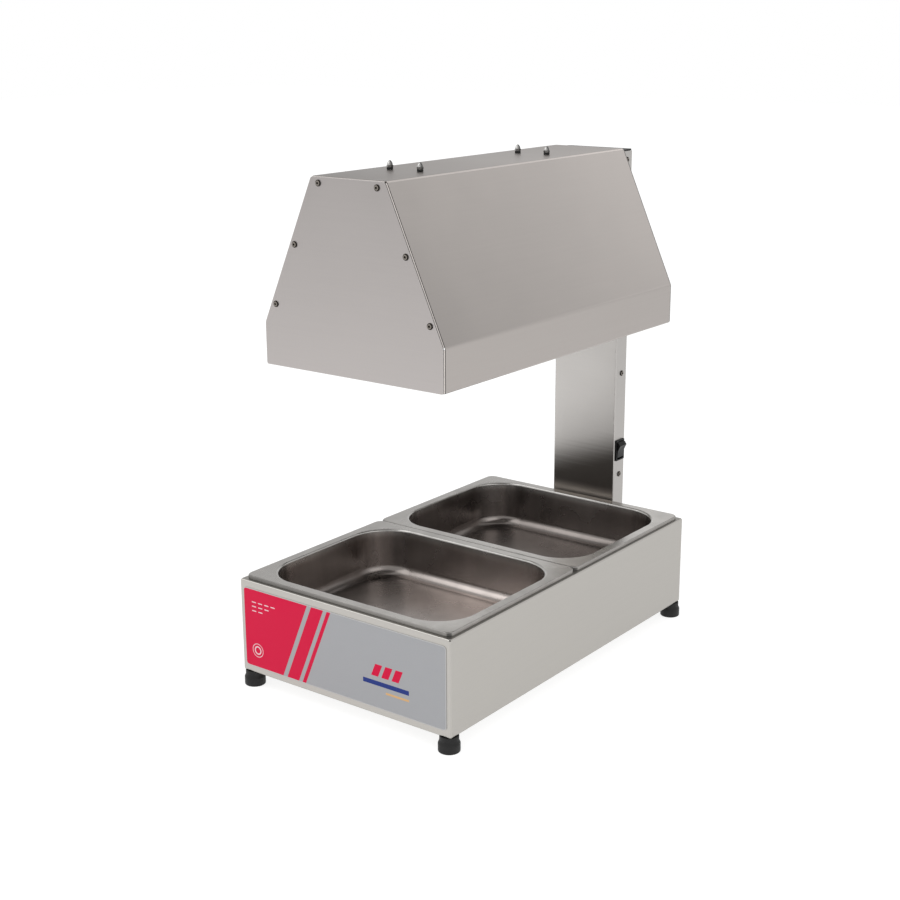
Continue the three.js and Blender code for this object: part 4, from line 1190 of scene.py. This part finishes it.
@dataclass
class Hood:
    """The hood's folded skin and end panels, the cap nuts on its top, and the heating gear inside it."""

    palette: Palette
    numbers: str = "1 2 3 4"
    nut_waist: float = 2.75 * MM
    nut_collar: Profile = ((3.8, 0), (4.1, 0.25), (4.1, 2.5), (3.7, 2.8))
    nut_bore: Profile = ((2.3, -1.0), (2.3, 5.4), (0.1, 5.6))
    nut_dome: Profile = (
        (3.0, 0.5), (3.0, 2.6), (3.55, 2.8), (3.5, 3.6), (3.25, 4.7), (2.85, 5.7), (2.3, 6.6),
        (1.65, 7.4), (1.0, 7.95), (0.45, 8.3), (0.08, 8.4),
    )
    seal: Profile = ((2.3, 0.0), (3.7, 0.0), (3.95, 0.5), (4.0, 1.25), (3.95, 2.0), (3.7, 2.5), (2.3, 2.5))
    bead: Profile = (
        (2.1, 0.0), (5.3, 0.0), (5.6, 0.3), (5.6, 4.7), (5.3, 5.0), (3.8, 5.0), (3.8, 6.0), (3.3, 6.3),
        (3.3, 6.8), (3.8, 7.1), (3.8, 8.0), (3.3, 8.3), (3.3, 8.8), (3.8, 9.1), (3.6, 10.0), (2.1, 10.0),
    )
    element_sides: int = 24
    element_radius: float = 4.2 * MM
    pin_radius: float = 1.8 * MM
    pin_length: float = 16 * MM
    bend_steps: int = 36

    def build(self) -> None:
        """Make and dress every piece of the hood: its sheets, cap nuts, seals and heating gear."""
        palette = self.palette
        for node, name, steel in (
            ("hood_shell", "hood_folded_skin", palette.skin),
            ("hood_front_panel", "hood_front_plate", palette.plate),
            ("hood_rear_panel", "hood_rear_plate", palette.plate),
        ):
            fit(folded(node, name), node, "steel", steel)
        seal = partial(turned, profile=self.seal, ring=True, smooth=32)
        repeated(
            self.numbers,
            Repeat("cap_nut", "domed_cap_nut", "bright_steel", (palette.nut, palette.dome), self._cap_nut),
            Repeat("seal_washer", "rubber_seal", "rubber", (palette.seal,), seal),
        )
        reflector = folded("reflector", "folded_reflector", 0.12 * MM)
        fit(reflector, "reflector", "bright_steel", palette.reflector)
        for node, name, ends, edge in (
            ("element_bracket", "strap_bracket", "front rear", 0.15 * MM),
            ("hood_nut", "hexagon_nut", self.numbers, 0.25 * MM),
        ):
            for end in ends.split():
                piece = folded(f"{node}_{end}", f"{name}_{end}", edge)
                fit(piece, f"{node}_{end}", "bright_steel", palette.bright)
        self._element()
        for side in ("left", "right"):
            node = f"terminal_insulator_{side}"
            place = seat(node, Way.REAR)
            bead = turned(f"ceramic_bead_{side}", place, self.bead, Way.REAR, ring=True, smooth=32)
            fit(bead, node, "ceramic", palette.ceramic)

    def _cap_nut(self, name: str, place: Vector) -> Piece:
        """A six-sided collar under a dome that ends in a small tip."""
        nut = turned(name, place, self.nut_collar, sides=6)
        combined(nut, turned("dome", place, self.nut_dome), "UNION")
        combined(nut, turned("bore", place, self.nut_bore, sides=24))
        # Faces above the waist take the lighter dome copy, a painted highlight, and those below the darker
        # copy, painted shade.
        for face in nut.data.polygons:
            face.material_index = int(face.center.z > place.z + self.nut_waist)
        smoothed(nut, 32)
        return nut

    def _element(self) -> None:
        """The hairpin: a round section run up one leg, spun round the bend and down the other."""
        low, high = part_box("heating_element")
        radius, height = self.element_radius, (low.z + high.z) / 2
        reach = (high.x - low.x) / 2 - radius
        turn, leg_end = low.y + radius + reach, high.y - self.pin_length
        share = self.pin_radius / radius
        clear_bench()
        bpy.ops.mesh.primitive_circle_add(
            vertices=self.element_sides, radius=radius, fill_type="NOTHING",
            rotation=(math.radians(90), 0, 0), location=(reach, leg_end, height),
        )
        hairpin = started("hairpin_element")

        def at_end(part_middle: Vector, side: int) -> bool:
            """Whether a middle lies at the end of the leg on one side."""
            return near(part_middle.y, leg_end) and part_middle.x * side > 0

        def is_cap(face: bmesh.types.BMFace, side: int) -> bool:
            """Whether a face closes the leg on one side."""
            return len(face.verts) > 4 and at_end(face.calc_center_median(), side)

        with shaping(hairpin, "EDGE"):
            pull(y=turn - leg_end, loose=True)
            bend = {"steps": self.bend_steps, "angle": -math.pi}
            bpy.ops.mesh.spin(center=(0, turn, height), axis=(0, 0, 1), **bend)
            pull(y=leg_end - turn, loose=True)
            for side in (1, -1):
                pick(hairpin, "EDGE", lambda edge: edge.is_boundary and at_end(middle(edge), side))
                bpy.ops.mesh.edge_face_add()
                pick(hairpin, "FACE", lambda face: is_cap(face, side))
                pull()
                centre = (side * reach, leg_end, height)
                bpy.ops.transform.resize(value=(share, 1, share), center_override=centre)
                pull(y=self.pin_length)
            close_up(weld=WELD)
        smoothed(hairpin)
        fit(hairpin, "heating_element", "sheath_steel", self.palette.sheath)


@dataclass
class Column:
    """The folded column, its cover and cap, the rocker switch, the cable gland and the loom."""

    palette: Palette
    bezel_depth: float = 2.2 * MM
    bezel_corner: float = 1.5 * MM
    bezel_edge: float = 0.6 * MM
    bezel_rim: float = 2.0 * MM
    body_inset: float = 1.05 * MM
    well_depth: float = 13 * MM
    flutes: int = 12
    flute_reach: float = 10.5 * MM
    flute: Profile = ((1.0, 0.0), (1.0, 17.0))
    dome: Profile = (
        (4.2, 0.0), (9.6, 0.0), (10.0, 0.4), (10.0, 7.0), (9.8, 7.7), (9.3, 8.7), (8.2, 11.2),
        (6.9, 14.2), (6.5, 14.8), (6.1, 15.0), (4.6, 15.0), (4.2, 14.6),
    )

    def build(self) -> None:
        """Make and dress every piece of the column."""
        palette = self.palette
        for node, name in (("column_channel", "column_front_channel"), ("column_cover", "column_rear_cover")):
            fit(folded(node, name), node, "steel", palette.column)
        fit(folded("column_cap", "column_end_cap"), "column_cap", "black_plastic", palette.plastic)
        self._housing()
        rocker = folded("switch_rocker", "moulded_rocker", edge=0.35 * MM, steps=3)
        fit(rocker, "switch_rocker", "black_plastic", palette.plastic, body=Body.ROCKER)
        gland = folded("gland_body", "cable_gland_body", edge=0.3 * MM)
        fit(gland, "gland_body", "black_plastic", palette.plastic)
        self._gland_dome()
        loom = folded("wiring_loom", "sleeved_loom", edge=0)
        smoothed(loom, 80)
        fit(loom, "wiring_loom", "sleeve", palette.sleeve)

    def _housing(self) -> None:
        """The switch's bezel, its body and its well, drawn from one box."""
        low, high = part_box("switch_housing")
        bezel_low = Vector((high.x - self.bezel_depth, low.y, low.z))
        housing = block("rocker_switch_housing", bezel_low, high)

        def on_face(edge: Edge) -> bool:
            """Whether an edge bounds the bezel's face."""
            walls = any(abs(face.normal.x) < 0.5 for face in edge.link_faces)
            return walls and near(middle(edge).x, high.x)

        with shaping(housing):
            round_off(housing, lambda edge: runs(edge, 0), self.bezel_corner, 5)
            for side, inset, depth in (
                (1, self.bezel_rim, -self.well_depth),
                (-1, self.body_inset, low.x - bezel_low.x),
            ):
                pick(housing, "FACE", lambda face: face.normal.x * side > 0.9)
                bpy.ops.mesh.inset(thickness=inset)
                pull(x=depth)
            round_off(housing, on_face, self.bezel_edge, 4)
        smoothed(housing)
        fit(housing, "switch_housing", "black_plastic", self.palette.plastic)

    def _gland_dome(self) -> None:
        """The gland's fluted clamping dome."""
        place = seat("gland_dome", Way.REAR)
        dome = turned("cable_gland_dome", place, self.dome, Way.REAR, sides=72, ring=True)
        for flute in range(self.flutes):
            angle = math.tau * flute / self.flutes
            shift = Vector((math.cos(angle), 0, math.sin(angle))) * self.flute_reach
            foot = place + shift - Vector((0, MM, 0))
            combined(dome, turned("flute", foot, self.flute, Way.REAR, sides=16))
        smoothed(dome, 32)
        fit(dome, "gland_dome", "black_plastic", self.palette.plastic)


# Studio and camera


@dataclass
class Studio:
    """A pale floor, a white surround and two soft lamps."""

    floor_size: float = 24.0
    surround: float = 0.8
    ceiling: float = 0.68
    lit_floor: Colour = (0.8, 0.8, 0.8, 1.0)
    seen_floor: Colour = (0.36, 0.36, 0.36, 1.0)
    floor_glow: float = 0.8
    aim: Triple = (0, 0, 0.3)

    def build(self) -> None:
        """Set up the floor, the surround, the lamps and the view."""
        self._floor()
        self._surround()
        self._lamp("Key", (-1.5, -1.9, 2.6), 2.4, 22.0)
        self._lamp("Fill", (2.2, -0.6, 2.2), 2.0, 10.0)
        bpy.context.scene.view_settings.view_transform = "Standard"

    def _floor(self) -> None:
        """A plain floor that shows white, keeps the warmer's shadow and is clear from below."""
        clear_bench()
        bpy.ops.mesh.primitive_plane_add(size=self.floor_size, location=(0, 0, 0))
        floor = bpy.context.object
        floor.name = "studio_floor"
        material = bpy.data.materials.new("Studio floor")
        material.use_nodes = True
        tree = Tree(material.node_tree)
        tree.tree.nodes.clear()
        glow = tree.shade("Emission", WHITE, self.floor_glow)
        seen = tree.shade("AddShader", tree.shade("BsdfDiffuse", self.seen_floor), glow)
        above = tree.shade("MixShader", self._seen(tree), tree.shade("BsdfDiffuse", self.lit_floor), seen)
        below = tree.add("NewGeometry").outputs["Backfacing"]
        clear = tree.shade("MixShader", below, above, tree.shade("BsdfTransparent"))
        tree.add("OutputMaterial", {"Surface": clear})
        floor.data.materials.append(material)

    def _seen(self, tree: Tree) -> Socket:
        """1 for rays that see the surround, from the camera, a reflection or glass, and 0 for its light."""
        path = tree.add("LightPath").outputs
        either = tree.math("MAXIMUM", path["Is Camera Ray"], path["Is Glossy Ray"])
        return tree.math("MAXIMUM", either, path["Is Transmission Ray"])

    def _surround(self) -> None:
        """A white surround whose ceiling is a little dimmer in reflections."""
        world = bpy.data.worlds.new("Studio surround")
        bpy.context.scene.world = world
        world.use_nodes = True
        tree = Tree(world.node_tree)
        tree.tree.nodes.clear()
        height = tree.parts(tree.add("TexCoord").outputs["Generated"])["Z"]
        ceiling = tree.spread(height, 0.0, 0.55, 1.0, self.ceiling)
        strength = tree.math("MAXIMUM", ceiling, tree.add("LightPath").outputs["Is Camera Ray"])
        bright, dim = (tree.shade("Background", WHITE, level) for level in (strength, self.surround))
        tree.add("OutputWorld", {"Surface": tree.shade("MixShader", self._seen(tree), dim, bright)})

    def _lamp(self, name: str, place: Triple, size: float, power: float) -> None:
        """A square area lamp that looks at the warmer's middle."""
        lamp = bpy.data.lights.new(name, "AREA")
        lamp.shape = "SQUARE"
        lamp.size = size
        lamp.energy = power
        carrier = added(name, lamp)
        carrier.location = place
        line = Vector(self.aim) - Vector(place)
        carrier.rotation_euler = line.to_track_quat("-Z", "Y").to_euler()


@dataclass
class Viewpoint:
    """The camera, at the photograph's place and angle."""

    place: Triple = (1.16200, -1.60159, 0.84827)
    azimuth: float = 37.260
    elevation: float = 16.051
    roll: float = -0.272
    lens: float = 61.044
    sensor: float = 36

    def build(self) -> None:
        """Add the camera and make it the scene's."""
        data = bpy.data.cameras.new("Photograph view")
        data.lens = self.lens
        data.sensor_width = self.sensor
        camera = added("Photograph view", data)
        pose = Matrix.Translation(Vector(self.place))
        for angle, axis in ((self.azimuth, "Z"), (90 - self.elevation, "X"), (self.roll, "Z")):
            pose @= Matrix.Rotation(math.radians(angle), 4, axis)
        camera.matrix_world = pose
        bpy.context.scene.camera = camera


def main() -> None:
    """Build the camera, the studio and every sub-assembly, and log each one as it is built."""
    logging.basicConfig(level=logging.INFO, format="%(message)s")
    Viewpoint().build()
    Studio().build()
    palette = Palette()
    for assembly in (BaseCabinet, DrawnPan, Hood, Column, BlindRivets):
        assembly(palette).build()
        log.info("%s is built", assembly.__name__)
    clear_bench()


if __name__ == "__main__":
    main()
